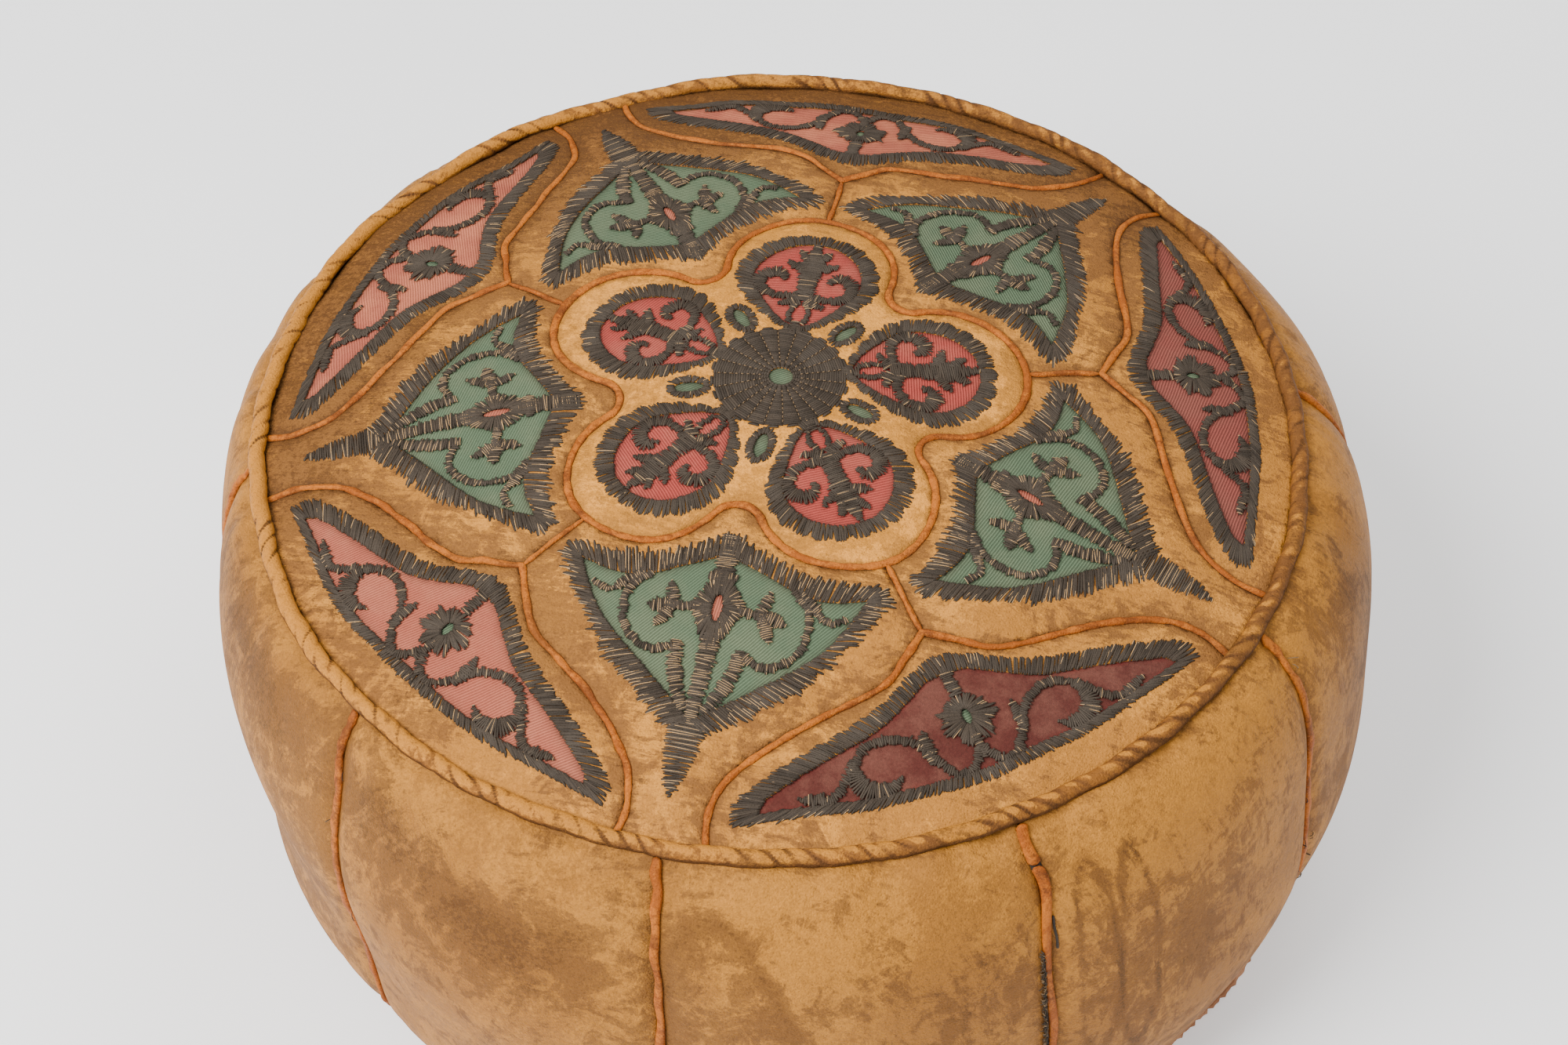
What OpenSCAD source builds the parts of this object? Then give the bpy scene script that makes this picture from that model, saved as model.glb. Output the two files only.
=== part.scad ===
// Stuffed leather floor pouf: a domed top pieced from a five-lobed rosette, five kites and
// five outer panels, ten side gores, a corded rim and a laced base. Millimetres, +Z up,
// origin on the floor under the middle. One kite points to -Y.

/* [Body] */
// Radius of the rim, to the centre of its cord
rim_r = 235; // [225:1:245]
// Height of the rim seam above the floor
rim_z = 232; // [220:1:250]
// Rise of the domed top above the rim seam
crown_rise = 33; // [24:1:42]
// Largest radius of the side wall
belly_r = 273; // [262:1:285]
// Height of the widest part of the side wall
belly_z = 118; // [100:1:130]
// Radius at which the side gores meet the base
foot_r = 243; // [236:1:248]
// Thickness of the leather
leather = 2; // [1.5:0.1:2.5]

/* [Seams] */
// Radius of the leather-wrapped rim cord
cord_r = 4; // [3:0.1:4.4]
// Width of the piping strips in the top seams
piping_w = 4; // [3:0.5:5]
// Height of a piping strip above the leather
piping_proud = 2; // [1:0.5:2.5]
// Angle that each strip of side piping takes up, in degrees
side_piping_angle = 0.84; // [0.6:0.02:1]
// Radius of the raw suede welt around the base
welt_r = 260; // [256:1:262]

/* [Top pattern] */
// Distance of each rosette lobe's centre from the middle
lobe_at = 73; // [70:1:76]
// Radius of each rosette lobe
lobe_r = 38.5; // [36:0.5:40]
// Distance from the middle to the valleys between the lobes
valley_at = 72.5; // [70:0.5:75]
// Distance from the middle to the points of the outer panels
apex_at = 146; // [142:1:150]
// Height of the embroidery above the leather
thread = 1.2; // [0.8:0.1:2]
// Thickness of the inset cloths
cloth = 0.5; // [0.4:0.1:0.6]
// Radius of the embroidered disc in the middle
disc_r = 29; // [26:0.5:29]

/* [Laced base] */
// Length of the laced slit
slit_len = 196; // [156:20:196]
// Width of the laced slit
slit_w = 3; // [2:0.5:4]
// Spacing of the lacing holes along the slit
hole_pitch = 20; // [18:1:22]
// Distance of the lacing holes from the middle of the slit
hole_off = 9; // [8:0.5:11]

/* [Hidden] */
REPEATS = 5;
TURN = 360 / REPEATS;
KITE_AXIS = 270;
LOBE_AXIS = KITE_AXIS + TURN / 2;
GORES = 2 * REPEATS;
GORE_TURN = 360 / GORES;

half_pipe = piping_w / 2;
panel_r = rim_r - cord_r - 0.5;       // outer edge of the top panels
side_top_r = rim_r + cord_r + 0.5;    // top edge of the side gores
foot_z = 7;                           // height of the seam at the foot
base_t = 2.5;                         // thickness of the base leather
welt_t = 2.3;
welt_gap = 0.1;
dish_z = 5;                           // the middle of the base is drawn up by this much
dish_r = [112, 150];                  // from the raised middle to the flat ring
lace_t = 1.5;
knot_t = 1.2;
placket_z = dish_z + base_t + lace_t + 0.2;
placket_t = 1.5;
layer = [0.1, 0.9, 1];                // lining outside and inside, then stuffing, under the cloth
mouth_r = 45;                         // mouth of the lining bag
floor_of_bag = placket_z + placket_t + 0.1;
crown_sphere = (rim_r * rim_r + crown_rise * crown_rise) / (2 * crown_rise);
crown_centre = rim_z + crown_rise - crown_sphere;
k = rim_r / 235;                      // the pattern below is drawn for this rim radius

// ---- curves -------------------------------------------------------------------------------

// A point of the smooth curve through p, between its points i and i + 1
function knot(p, i) = p[max(0, min(len(p) - 1, i))];
function bend(p, i, t) =
    let (a = knot(p, i - 1), b = knot(p, i), c = knot(p, i + 1), d = knot(p, i + 2))
    (2 * b + (c - a) * t + (2 * a - 5 * b + 4 * c - d) * t * t
        + (3 * b - a - 3 * c + d) * t * t * t) / 2;
function smooth_path(p, n = 3) =
    [for (i = [0:len(p) - 2], s = [0:n - 1]) bend(p, i, s / n), p[len(p) - 1]];

function reversed(p) = [for (i = [len(p) - 1:-1:0]) p[i]];
function mirrored(p) = [for (q = p) [-q[0], q[1]]];
function scaled(p) = [for (q = p) q * k];
// A closed outline from its right half, listed from the inner end to the outer end
function both_sides(p) = concat(p, reversed(mirrored(p)));

function heading(p, i) = knot(p, i + 1) - knot(p, i - 1);
// The path moved sideways by d, to its left when d is positive
function beside(p, d) =
    [for (i = [0:len(p) - 1]) let (h = heading(p, i)) p[i] + d * [-h[1], h[0]] / norm(h)];
// The outline of a strip of width w along the path
function strip(p, w) = concat(beside(p, w / 2), reversed(beside(p, -w / 2)));

function arc(c, r, a, b, n) =
    [for (i = [0:n]) let (t = a + (b - a) * i / n) c + r * [cos(t), sin(t)]];
function oval(c, rx, ry, n = 20) =
    [for (i = [0:n - 1]) c + [rx * cos(360 * i / n), ry * sin(360 * i / n)]];

// ---- the body's outline -------------------------------------------------------------------

// The side wall moved in by d, from the rim down to the foot
function wall(d) = concat(
    [for (t = [90:-9:0]) [side_top_r + (belly_r - side_top_r - d) * cos(t),
        belly_z + (rim_z - belly_z - d) * sin(t)]],
    [for (t = [9:9:90]) [foot_r + (belly_r - foot_r - d) * cos(t),
        belly_z - (belly_z - foot_z - d) * sin(t)]]);
function crown_z(r, d) = crown_centre + sqrt((crown_sphere - d) * (crown_sphere - d) - r * r);
function crown_line(d) = [for (i = [0:12]) let (r = panel_r * i / 12) [r, crown_z(r, d)]];
// The inner outline at depth d below the leather's face, lifted by f from the base
function inside_line(d, f) = concat(crown_line(d), wall(d),
    [[foot_r - d, base_t + f], [dish_r[1], base_t + f], [dish_r[0], floor_of_bag + f]]);

// ---- the top's seams, each in a frame with its panel's axis along +Y -----------------------

// The rosette's outline from the valley to a lobe's tip, moved outwards by off
function valley_round() = let (c = lobe_at * [sin(TURN / 2), cos(TURN / 2)])
    (c[0] * c[0] + (valley_at - c[1]) * (valley_at - c[1]) - lobe_r * lobe_r)
        / (2 * (lobe_r - valley_at + c[1]));
function rosette_half(off, short = 0) =
    let (c = lobe_at * [sin(TURN / 2), cos(TURN / 2)],
        f = valley_round(), fc = [0, valley_at + f], d = fc - c, a = atan2(d[1], d[0]))
    concat(arc(fc, f - off, 270, a + 180, 4),
        arc(c, lobe_r + off, a, 90 - TURN / 2 + short, 12));
function spin(p, a) = [for (q = p) [q[0] * cos(a) - q[1] * sin(a), q[0] * sin(a) + q[1] * cos(a)]];
function tail(p) = [for (i = [1:len(p) - 1]) p[i]];
function head(p) = [for (i = [0:len(p) - 2]) p[i]];
function rosette_outline(off) = let (right = rosette_half(off))
    scaled([for (i = [0:REPEATS - 1])
        each spin(concat(reversed(tail(mirrored(right))), head(right)), -i * TURN)]);

// Right half of the seam between an outer panel and its two kites
OGEE = smooth_path([[0, apex_at], [12, 154.5], [27, 163.5], [60, 166.5], [95, 172],
    [113, 184], [121, 196.5]]);
function ogee(off) = beside(OGEE, off);

// A kite: round the rosette, along the spoke seam and out along the ogee
function kite_outline() =
    let (short = asin(half_pipe / (lobe_r + half_pipe)),
        side = spin(mirrored(tail(ogee(-half_pipe))), -TURN / 2),
        end = side[len(side) - 1], a = atan2(end[1], end[0]),
        edge = arc([0, 0], panel_r / k, a, 90, 3))
    both_sides(scaled(concat(rosette_half(half_pipe, short),
        spin([[-half_pipe, apex_at - 1.2]], -TURN / 2), head(side), edge)));
function outer_outline() =
    let (side = ogee(half_pipe), end = side[len(side) - 1], a = atan2(end[1], end[0]))
    both_sides(scaled(concat([[0, apex_at + 2.4]], head(tail(side)),
        arc([0, 0], panel_r / k, a, 90, 10))));
function ogee_strip() =
    let (line = concat(reversed(mirrored(tail(OGEE))), OGEE)) scaled(strip(line, piping_w));

// ---- the inset cloths and the embroidery round them, right halves in mm ---------------------

KITE_WINDOW = [[0, 100], [18, 108], [34, 115], [48, 115], [62, 111], [56, 124], [48, 137],
    [34, 151], [14, 167], [0, 178]];
KITE_BORDER = [[0, 87], [10, 94], [20, 99], [30, 103], [47, 105], [66, 103], [71, 110],
    [66, 121], [57, 134], [42, 156], [22, 173], [9, 183], [6, 197], [4, 206], [0, 212]];
OUTER_WINDOW = [[0, 167], [9, 168], [20, 174], [35, 181], [52, 184], [72, 187], [92, 190],
    [98, 195], [60, 205], [30, 210], [0, 212]];
OUTER_BORDER = [[0, 157], [15, 163], [30, 171], [45, 175], [62, 178], [84, 181], [100, 184],
    [108, 194], [60, 209], [30, 214.5], [0, 217]];
PETAL_WINDOW = [[0, 33], [18, 48], [24, 58], [25, 68], [20, 80], [12, 87], [0, 90]];
PETAL_BORDER = [[0, 29.5], [13, 38], [22, 46], [31, 52], [33, 62], [33, 73], [26, 86],
    [15, 95], [0, 98]];
LEAF_AT = [0, 40.5];
LEAF_RING = [6.5, 10.5];
LEAF_WINDOW = [3, 7];
EYE_AT = [0, 127];
EYE = [2.5, 7];
FLOWER_AT = [0, 188];
FLOWER_DOT = [2.2, 3];
DISC_DOT = 5.5;

KITE_STEM = [[0, 105], [3, 107], [3, 117], [9, 127], [3.5, 138], [3.5, 170], [0, 172]];
KITE_LINES = [
    [5, smooth_path([[8, 162], [10.5, 157], [12, 150], [11.5, 141]])],
    [3, smooth_path([[17, 148], [24, 150], [31, 147.5], [37, 140], [39, 130], [36.5, 121]])],
    [3, [[12, 128], [20, 128.5], [27, 129]]]];
OUTER_STEM = [[0, 170], [2.5, 171], [3, 179], [10, 184], [9, 191], [3, 196], [2, 206], [0, 207]];
OUTER_LINES = [
    [3.5, smooth_path([[8, 208], [16, 205], [22, 196], [32, 188.5], [44, 186.5], [51, 192],
        [48, 201], [38, 203]])],
    [3.5, [[56, 195], [63, 199], [72, 199]]]];
PETAL_STEM = [[0, 49], [9, 48], [4.5, 57], [4.5, 68], [12, 75], [5, 79], [2, 87], [0, 88]];
PETAL_LINES = [[4, smooth_path([[9, 53], [16, 52], [21, 57], [20.5, 65], [14, 68]])]];

// ---- building helpers -----------------------------------------------------------------------

module at_axis(a) { rotate([0, 0, a - 90]) children(); }
module kites() { for (i = [0:REPEATS - 1]) at_axis(KITE_AXIS + i * TURN) children(); }
module lobes() { for (i = [0:REPEATS - 1]) at_axis(LOBE_AXIS + i * TURN) children(); }

// The layer between depths low and high, measured up from the face of the domed leather
module crown_layer(low, high) {
    difference() {
        translate([0, 0, crown_centre]) sphere(crown_sphere + high, $fn = 180);
        translate([0, 0, crown_centre]) sphere(crown_sphere + low, $fn = 180);
        translate([0, 0, crown_centre - crown_sphere]) cube(2 * crown_sphere, center = true);
    }
}
module in_layer(low, high) {
    intersection() {
        translate([0, 0, rim_z - 8]) linear_extrude(crown_rise + 16) children();
        crown_layer(low, high);
    }
}
module leather_top() { in_layer(-leather, 0) children(); }
module piping_top() { in_layer(-leather, piping_proud) children(); }
module cloth_top() { in_layer(-leather - cloth, -leather) children(); }

module half_drawn(p) { polygon(both_sides(scaled(p))); }
// Embroidered lines on the cloth, in pairs
module lines(list) {
    for (line = list, side = [0, 1])
        mirror([side, 0]) polygon(scaled(strip(line[1], line[0])));
}

// ---- inside ---------------------------------------------------------------------------------

module stuffing() {
    color("antiquewhite") rotate_extrude($fn = 96)
        polygon(concat([[0, floor_of_bag + layer[2]]],
            inside_line(leather + cloth + layer[2], layer[2])));
}

module cotton_lining() {
    outer = inside_line(leather + cloth + layer[0], layer[0]);
    inner = inside_line(leather + cloth + layer[1], layer[1]);
    color("ivory") rotate_extrude($fn = 96)
        polygon(concat(outer, [[mouth_r, floor_of_bag + layer[0]],
            [mouth_r, floor_of_bag + layer[1]]], reversed(inner)));
}

// ---- base -----------------------------------------------------------------------------------

holes = floor((slit_len - 16) / hole_pitch / 2);
module each_hole_row() { for (i = [-holes:holes]) translate([0, i * hole_pitch, 0]) children(); }

module base_panel() {
    color("peru") difference() {
        rotate_extrude($fn = 96) polygon([[0, dish_z], [dish_r[0], dish_z], [dish_r[1], 0],
            [welt_r - 3, 0], [welt_r - 3, base_t], [dish_r[1], base_t],
            [dish_r[0], dish_z + base_t], [0, dish_z + base_t]]);
        translate([-slit_w / 2, -slit_len / 2, 0]) cube([slit_w, slit_len, 4 * base_t]);
        each_hole_row() for (x = [-hole_off, hole_off])
            translate([x, 0, 0]) cylinder(h = 4 * base_t, r = 2, $fn = 24);
    }
}

module base_placket() {
    color("sienna") translate([-30, -slit_len / 2 - 8, placket_z])
        cube([60, slit_len + 16, placket_t]);
}

// One thong: under the slit at each pair of holes, and slanting to the next pair above it
module base_lace() {
    leg = 1.2;
    low = dish_z - lace_t;
    high = dish_z + base_t;
    slant = atan2(2 * hole_off, hole_pitch);
    color("saddlebrown") union() {
        each_hole_row() rotate([90, 0, 0]) linear_extrude(2 * leg, center = true)
            difference() {
                translate([-hole_off - leg, low]) square([2 * (hole_off + leg), high + lace_t - low]);
                translate([-hole_off + leg, dish_z])
                    square([2 * (hole_off - leg), high + lace_t - dish_z + 1]);
            }
        for (i = [-holes:holes - 1]) translate([0, (i + 0.5) * hole_pitch, high + 0.1])
            rotate([0, 0, slant]) translate([-leg, -norm([hole_off, hole_pitch / 2]), 0])
                cube([2 * leg, 2 * norm([hole_off, hole_pitch / 2]), lace_t - 0.2]);
        for (s = [-1, 1]) translate([0, s * holes * hole_pitch, low - knot_t])
            cylinder(h = knot_t + lace_t / 2, r = 2.6, $fn = 24);
    }
}

module base_welt() {
    color("rosybrown") translate([0, 0, base_t + welt_gap]) rotate_extrude($fn = 96)
        translate([foot_r, 0]) square([welt_r - foot_r, welt_t]);
}

// ---- side -----------------------------------------------------------------------------------

module gore_at(i) { rotate([0, 0, KITE_AXIS + (i - 1) * GORE_TURN]) children(); }

module side_panel(i) {
    color("tan") gore_at(i) rotate([0, 0, side_piping_angle / 2])
        rotate_extrude(angle = GORE_TURN - side_piping_angle, $fn = 96)
            polygon(concat(wall(0), reversed(wall(leather))));
}

module side_piping(i) {
    color("chocolate") gore_at(i) rotate([0, 0, -side_piping_angle / 2])
        rotate_extrude(angle = side_piping_angle, $fn = 96)
            polygon(concat(wall(-piping_proud), reversed(wall(leather))));
}

module rim_cord() {
    color("burlywood") translate([0, 0, rim_z + 1.5]) rotate_extrude($fn = 96)
        translate([rim_r, 0]) circle(cord_r, $fn = 32);
}

// ---- top leather ----------------------------------------------------------------------------

module rosette_panel() {
    color("wheat") leather_top() difference() {
        polygon(rosette_outline(-half_pipe));
        lobes() half_drawn(PETAL_WINDOW);
        kites() polygon(scaled(oval(LEAF_AT, LEAF_WINDOW[0], LEAF_WINDOW[1])));
        circle(DISC_DOT * k, $fn = 24);
    }
}

module kite_panel(i) {
    color("burlywood") at_axis(KITE_AXIS + (i - 1) * TURN) leather_top() difference() {
        polygon(kite_outline());
        half_drawn(KITE_WINDOW);
    }
}

module outer_panel(i) {
    color("tan") at_axis(LOBE_AXIS + (i - 1) * TURN) leather_top() difference() {
        polygon(outer_outline());
        half_drawn(OUTER_WINDOW);
    }
}

module rosette_piping() {
    color("chocolate") piping_top() difference() {
        polygon(rosette_outline(half_pipe));
        polygon(rosette_outline(-half_pipe));
    }
}

module spoke_piping() {
    color("chocolate") piping_top() lobes()
        translate([-half_pipe, lobe_at * k + (lobe_r + half_pipe) * k])
            square([piping_w, (apex_at - lobe_at - lobe_r - piping_w) * k - 1]);
}

module outer_piping(i) {
    color("chocolate") at_axis(LOBE_AXIS + (i - 1) * TURN) piping_top() polygon(ogee_strip());
}

// ---- inset cloths ---------------------------------------------------------------------------

module kite_cloths() {
    color("seagreen") kites() cloth_top() difference() {
        half_drawn(KITE_BORDER);
        polygon(scaled(oval(EYE_AT, EYE[0], EYE[1])));
    }
}

module outer_cloth(i) {
    tints = ["firebrick", "indianred", "lightcoral", "lightcoral", "crimson"];
    color(tints[i - 1]) at_axis(LOBE_AXIS + (i - 1) * TURN) cloth_top() difference() {
        half_drawn(OUTER_BORDER);
        polygon(scaled(oval(FLOWER_AT, FLOWER_DOT[0], FLOWER_DOT[1])));
    }
}

module petal_cloths() { color("crimson") lobes() cloth_top() half_drawn(PETAL_BORDER); }

module leaf_cloths() {
    color("seagreen") cloth_top() union() {
        kites() polygon(scaled(oval(LEAF_AT, LEAF_WINDOW[0] + 2, LEAF_WINDOW[1] + 2)));
        circle((DISC_DOT + 4) * k, $fn = 24);
    }
}

module flower_cloths() {
    color("seagreen") lobes() in_layer(-leather - cloth, -leather)
        polygon(scaled(oval(FLOWER_AT, FLOWER_DOT[0], FLOWER_DOT[1])));
}

module kite_eye_cloths() {
    color("salmon") kites() cloth_top() polygon(scaled(oval(EYE_AT, EYE[0], EYE[1])));
}

// ---- embroidery -----------------------------------------------------------------------------

// A border of stitches on the leather round a window, and the motif on the cloth inside it
module embroidered(border, window, stem, list, hole_at, hole) {
    in_layer(0, thread) difference() {
        half_drawn(border);
        half_drawn(window);
    }
    in_layer(-leather, thread) {
        difference() {
            half_drawn(stem);
            polygon(scaled(oval(hole_at, hole[0], hole[1])));
        }
        lines(list);
    }
}

module kite_embroidery() {
    color("dimgray") kites()
        embroidered(KITE_BORDER, KITE_WINDOW, KITE_STEM, KITE_LINES, EYE_AT, EYE);
}

module outer_embroidery() {
    color("dimgray") lobes()
        embroidered(OUTER_BORDER, OUTER_WINDOW, OUTER_STEM, OUTER_LINES, FLOWER_AT, FLOWER_DOT);
}

module petal_embroidery() {
    color("dimgray") lobes()
        embroidered(PETAL_BORDER, PETAL_WINDOW, PETAL_STEM, PETAL_LINES, [0, 62], [1, 3]);
}

module centre_embroidery() {
    color("dimgray") in_layer(0, thread) {
        difference() {
            circle(disc_r * k, $fn = 64);
            circle(DISC_DOT * k, $fn = 24);
        }
        kites() difference() {
            polygon(scaled(oval(LEAF_AT + [0, 0.2], LEAF_RING[0], LEAF_RING[1])));
            polygon(scaled(oval(LEAF_AT, LEAF_WINDOW[0], LEAF_WINDOW[1])));
        }
    }
}

stuffing();
cotton_lining();
base_panel();
base_placket();
base_lace();
base_welt();
side_panel(1);  // side_panel_01
side_panel(2);  // side_panel_02
side_panel(3);  // side_panel_03
side_panel(4);  // side_panel_04
side_panel(5);  // side_panel_05
side_panel(6);  // side_panel_06
side_panel(7);  // side_panel_07
side_panel(8);  // side_panel_08
side_panel(9);  // side_panel_09
side_panel(10);  // side_panel_10
side_piping(1);  // side_piping_01
side_piping(2);  // side_piping_02
side_piping(3);  // side_piping_03
side_piping(4);  // side_piping_04
side_piping(5);  // side_piping_05
side_piping(6);  // side_piping_06
side_piping(7);  // side_piping_07
side_piping(8);  // side_piping_08
side_piping(9);  // side_piping_09
side_piping(10);  // side_piping_10
rim_cord();
rosette_panel();
kite_panel(1);  // kite_panel_1
kite_panel(2);  // kite_panel_2
kite_panel(3);  // kite_panel_3
kite_panel(4);  // kite_panel_4
kite_panel(5);  // kite_panel_5
outer_panel(1);  // outer_panel_1
outer_panel(2);  // outer_panel_2
outer_panel(3);  // outer_panel_3
outer_panel(4);  // outer_panel_4
outer_panel(5);  // outer_panel_5
rosette_piping();
spoke_piping();
outer_piping(1);  // outer_piping_1
outer_piping(2);  // outer_piping_2
outer_piping(3);  // outer_piping_3
outer_piping(4);  // outer_piping_4
outer_piping(5);  // outer_piping_5
kite_cloths();
outer_cloth(1);  // outer_cloth_1
outer_cloth(2);  // outer_cloth_2
outer_cloth(3);  // outer_cloth_3
outer_cloth(4);  // outer_cloth_4
outer_cloth(5);  // outer_cloth_5
petal_cloths();
leaf_cloths();
flower_cloths();
kite_eye_cloths();
kite_embroidery();
outer_embroidery();
petal_embroidery();
centre_embroidery();
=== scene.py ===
"""The looks of a stuffed leather pouf, built in layers round its CAD frame.

Every piece of the cover is laid on two mapped surfaces. Form.on_top carries flat pattern drafts,
in millimetres, up on to the domed top, and Form.on_wall does the same for the wall. The pattern
is drawn as a cutter would draw it: one kite, one outer panel and one rosette lobe, each with its
axis along +Y, turned round the middle five times.
"""

import math

import bpy
import numpy as np
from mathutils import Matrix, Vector, geometry


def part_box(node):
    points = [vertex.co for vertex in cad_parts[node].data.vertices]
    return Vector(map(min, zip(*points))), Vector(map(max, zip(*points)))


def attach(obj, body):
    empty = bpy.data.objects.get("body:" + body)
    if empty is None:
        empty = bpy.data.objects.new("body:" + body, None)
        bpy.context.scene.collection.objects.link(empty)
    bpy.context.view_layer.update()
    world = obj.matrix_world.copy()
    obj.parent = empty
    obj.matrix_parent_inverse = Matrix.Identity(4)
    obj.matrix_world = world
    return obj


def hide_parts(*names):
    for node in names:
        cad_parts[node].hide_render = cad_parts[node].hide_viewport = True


bl_info = {
    "name": "Embroidered leather pouf",
    "version": (1, 0, 0),
    "blender": (4, 5, 0),
    "location": "3D View > Sidebar > Pouf",
    "description": "Builds a stuffed leather pouf with an embroidered top round its CAD frame",
    "category": "Add Mesh",
}

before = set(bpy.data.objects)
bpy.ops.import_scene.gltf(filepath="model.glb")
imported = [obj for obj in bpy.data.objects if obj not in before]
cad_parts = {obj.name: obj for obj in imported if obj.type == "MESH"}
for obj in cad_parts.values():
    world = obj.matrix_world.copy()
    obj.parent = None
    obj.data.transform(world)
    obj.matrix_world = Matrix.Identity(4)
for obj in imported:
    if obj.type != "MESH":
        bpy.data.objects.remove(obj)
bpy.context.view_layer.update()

MM = 0.001
REPEATS = 5
TURN = 72
KITE_AXES = [270 + TURN * i for i in range(REPEATS)]
LOBE_AXES = [306 + TURN * i for i in range(REPEATS)]
GORES = 10
GORE_TURN = 36
SEAM_ANGLES = [270 + GORE_TURN * i for i in range(GORES)]
CORD_LOW, CORD_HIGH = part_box("rim_cord")
FOOT_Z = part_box("side_panel_01")[0].z
CORD_RADIUS = (CORD_HIGH.z - CORD_LOW.z) / 2
RIM_RADIUS = CORD_HIGH.x - CORD_RADIUS
CORD_Z = (CORD_HIGH.z + CORD_LOW.z) / 2
VIEW_TURN = 11.84  # how far the camera, and the way the body leans, are turned from the front
BASE_DISH = 5.0  # how far the base is dished up round the lacing


# ---- sizes and colours that a user would change --------------------------------------------


def length(name, description, default):
    return bpy.props.FloatProperty(
        name=name, description=description, default=default, min=0, unit="LENGTH", precision=4
    )


def colour(name, description, default):
    return bpy.props.FloatVectorProperty(
        name=name, description=description, default=default, size=3, min=0, max=1, subtype="COLOR"
    )


class PoufSizes(bpy.types.PropertyGroup):
    """Sizes of the pouf's leather, cord and piping"""

    rim_radius: length("Rim radius", "From the middle to the rim cord's centre", RIM_RADIUS)
    cord_radius: length("Cord radius", "Radius of the leather-wrapped rim cord", CORD_RADIUS)
    cord_height: length("Cord height", "Height of the rim cord's centre", CORD_Z)
    seam_height: length("Rim seam height", "Height of the top's edge", 0.232)
    crown_rise: length("Crown rise", "Rise of the domed top above its edge", 0.033)
    belly_radius: length("Belly radius", "Largest radius of the wall", 0.2715)
    belly_height: length("Belly height", "Height of the widest part of the wall", 0.118)
    foot_radius: length("Foot radius", "Radius where the wall meets the base", 0.243)
    foot_height: length("Foot height", "Height where the wall meets the base", FOOT_Z)
    hide: length("Leather thickness", "Thickness of the goatskin", 0.0016)
    piping_width: length("Piping width", "Width of the piping strips in the top", 0.0036)
    piping_proud: length("Piping height", "Height of the piping above the leather", 0.0014)


class PoufColours(bpy.types.PropertyGroup):
    """Colours of the pouf's leathers, cloths and threads"""

    tan: colour("Tan leather", "Side gores and top panels", (0.365, 0.147, 0.024))
    tan_worn: colour("Rubbed leather", "Where the tan is rubbed pale", (0.50, 0.205, 0.030))
    tan_dark: colour("Soiled leather", "Brown blotches in the tan", (0.120, 0.050, 0.017))
    cream: colour("Rosette leather", "The paler leather in the middle", (0.45, 0.182, 0.024))
    piping: colour("Piping leather", "Orange strips in the seams", (0.27, 0.068, 0.0085))
    suede: colour("Suede", "Raw edge at the foot", (0.34, 0.155, 0.080))
    green: colour("Green twill", "Kites and leaves", (0.086, 0.121, 0.071))
    red: colour("Red twill", "Rosette petals", (0.32, 0.055, 0.042))
    pink: colour("Salmon twill", "Three outer panels and the kites' eyes", (0.34, 0.092, 0.057))
    faded_red: colour("Faded red twill", "One outer panel", (0.21, 0.056, 0.043))
    velvet: colour("Dark red velvet", "One outer panel", (0.080, 0.021, 0.016))
    thread: colour("Dark thread", "Most of the embroidery", (0.0270, 0.0196, 0.0134))
    straw: colour("Straw thread", "Scattered pale threads", (0.46, 0.28, 0.125))


# ---- flat pattern drafting, in millimetres ---------------------------------------------------


def path_through(points, steps=6):
    """The smooth curve through points, with that many steps between two of them."""
    p = np.asarray(points, float)
    q = np.vstack([p[:1], p, p[-1:]])
    t = (np.arange(steps) / steps)[:, None]
    spans = []
    for a, b, c, d in zip(q[:-3], q[1:-2], q[2:-1], q[3:]):
        spans.append(
            (2 * b + (c - a) * t + (2 * a - 5 * b + 4 * c - d) * t**2 + (3 * b - a - 3 * c + d) * t**3)
            / 2
        )
    return np.vstack([*spans, p[-1:]])


def evenly(path, step=None, count=None):
    """The path again, with points a step apart along it, or that many of them."""
    gaps = np.linalg.norm(np.diff(path, axis=0), axis=1)
    along = np.concatenate([[0], np.cumsum(gaps)])
    count = count or max(2, int(round(along[-1] / step)) + 1)
    at = np.linspace(0, along[-1], count)
    return np.stack([np.interp(at, along, path[:, k]) for k in range(path.shape[1])], 1)


def mirrored(path):
    return np.asarray(path, float) * (-1, 1)


def turned(path, degrees):
    """The path turned anticlockwise about the middle."""
    c, s = math.cos(math.radians(degrees)), math.sin(math.radians(degrees))
    return np.asarray(path, float) @ np.array([[c, s], [-s, c]])


def to_axis(path, axis):
    """From a panel's own frame, with its axis along +Y, to the pouf's."""
    return turned(path, axis - 90)


def beside(path, distance):
    """The path moved sideways, to its left when the distance is positive."""
    heading = np.gradient(path, axis=0)
    heading /= np.maximum(np.linalg.norm(heading, axis=1), 1e-9)[:, None]
    return path + distance * np.stack([-heading[:, 1], heading[:, 0]], 1)


def arc(centre, radius, start, end, count):
    a = np.radians(np.linspace(start, end, count))
    return np.asarray(centre) + radius * np.stack([np.cos(a), np.sin(a)], 1)


def oval(centre, half_width, half_height, count=28):
    a = np.linspace(0, 2 * math.pi, count, endpoint=False)
    return np.asarray(centre) + np.stack([half_width * np.cos(a), half_height * np.sin(a)], 1)


def both_halves(right):
    """A closed outline from its right half, listed from the inner end to the outer end."""
    right = np.asarray(right, float)
    left = mirrored(right[::-1])
    return np.vstack([right, left[1 if right[-1][0] == 0 else 0 : -1 if right[0][0] == 0 else None]])


def closed(path):
    """The path with its first point added at the end."""
    return np.vstack([path, path[:1]])


def tapering(at, widths):
    """A width that changes along a row of stitches."""
    return lambda t: float(np.interp(t, at, widths))


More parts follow.
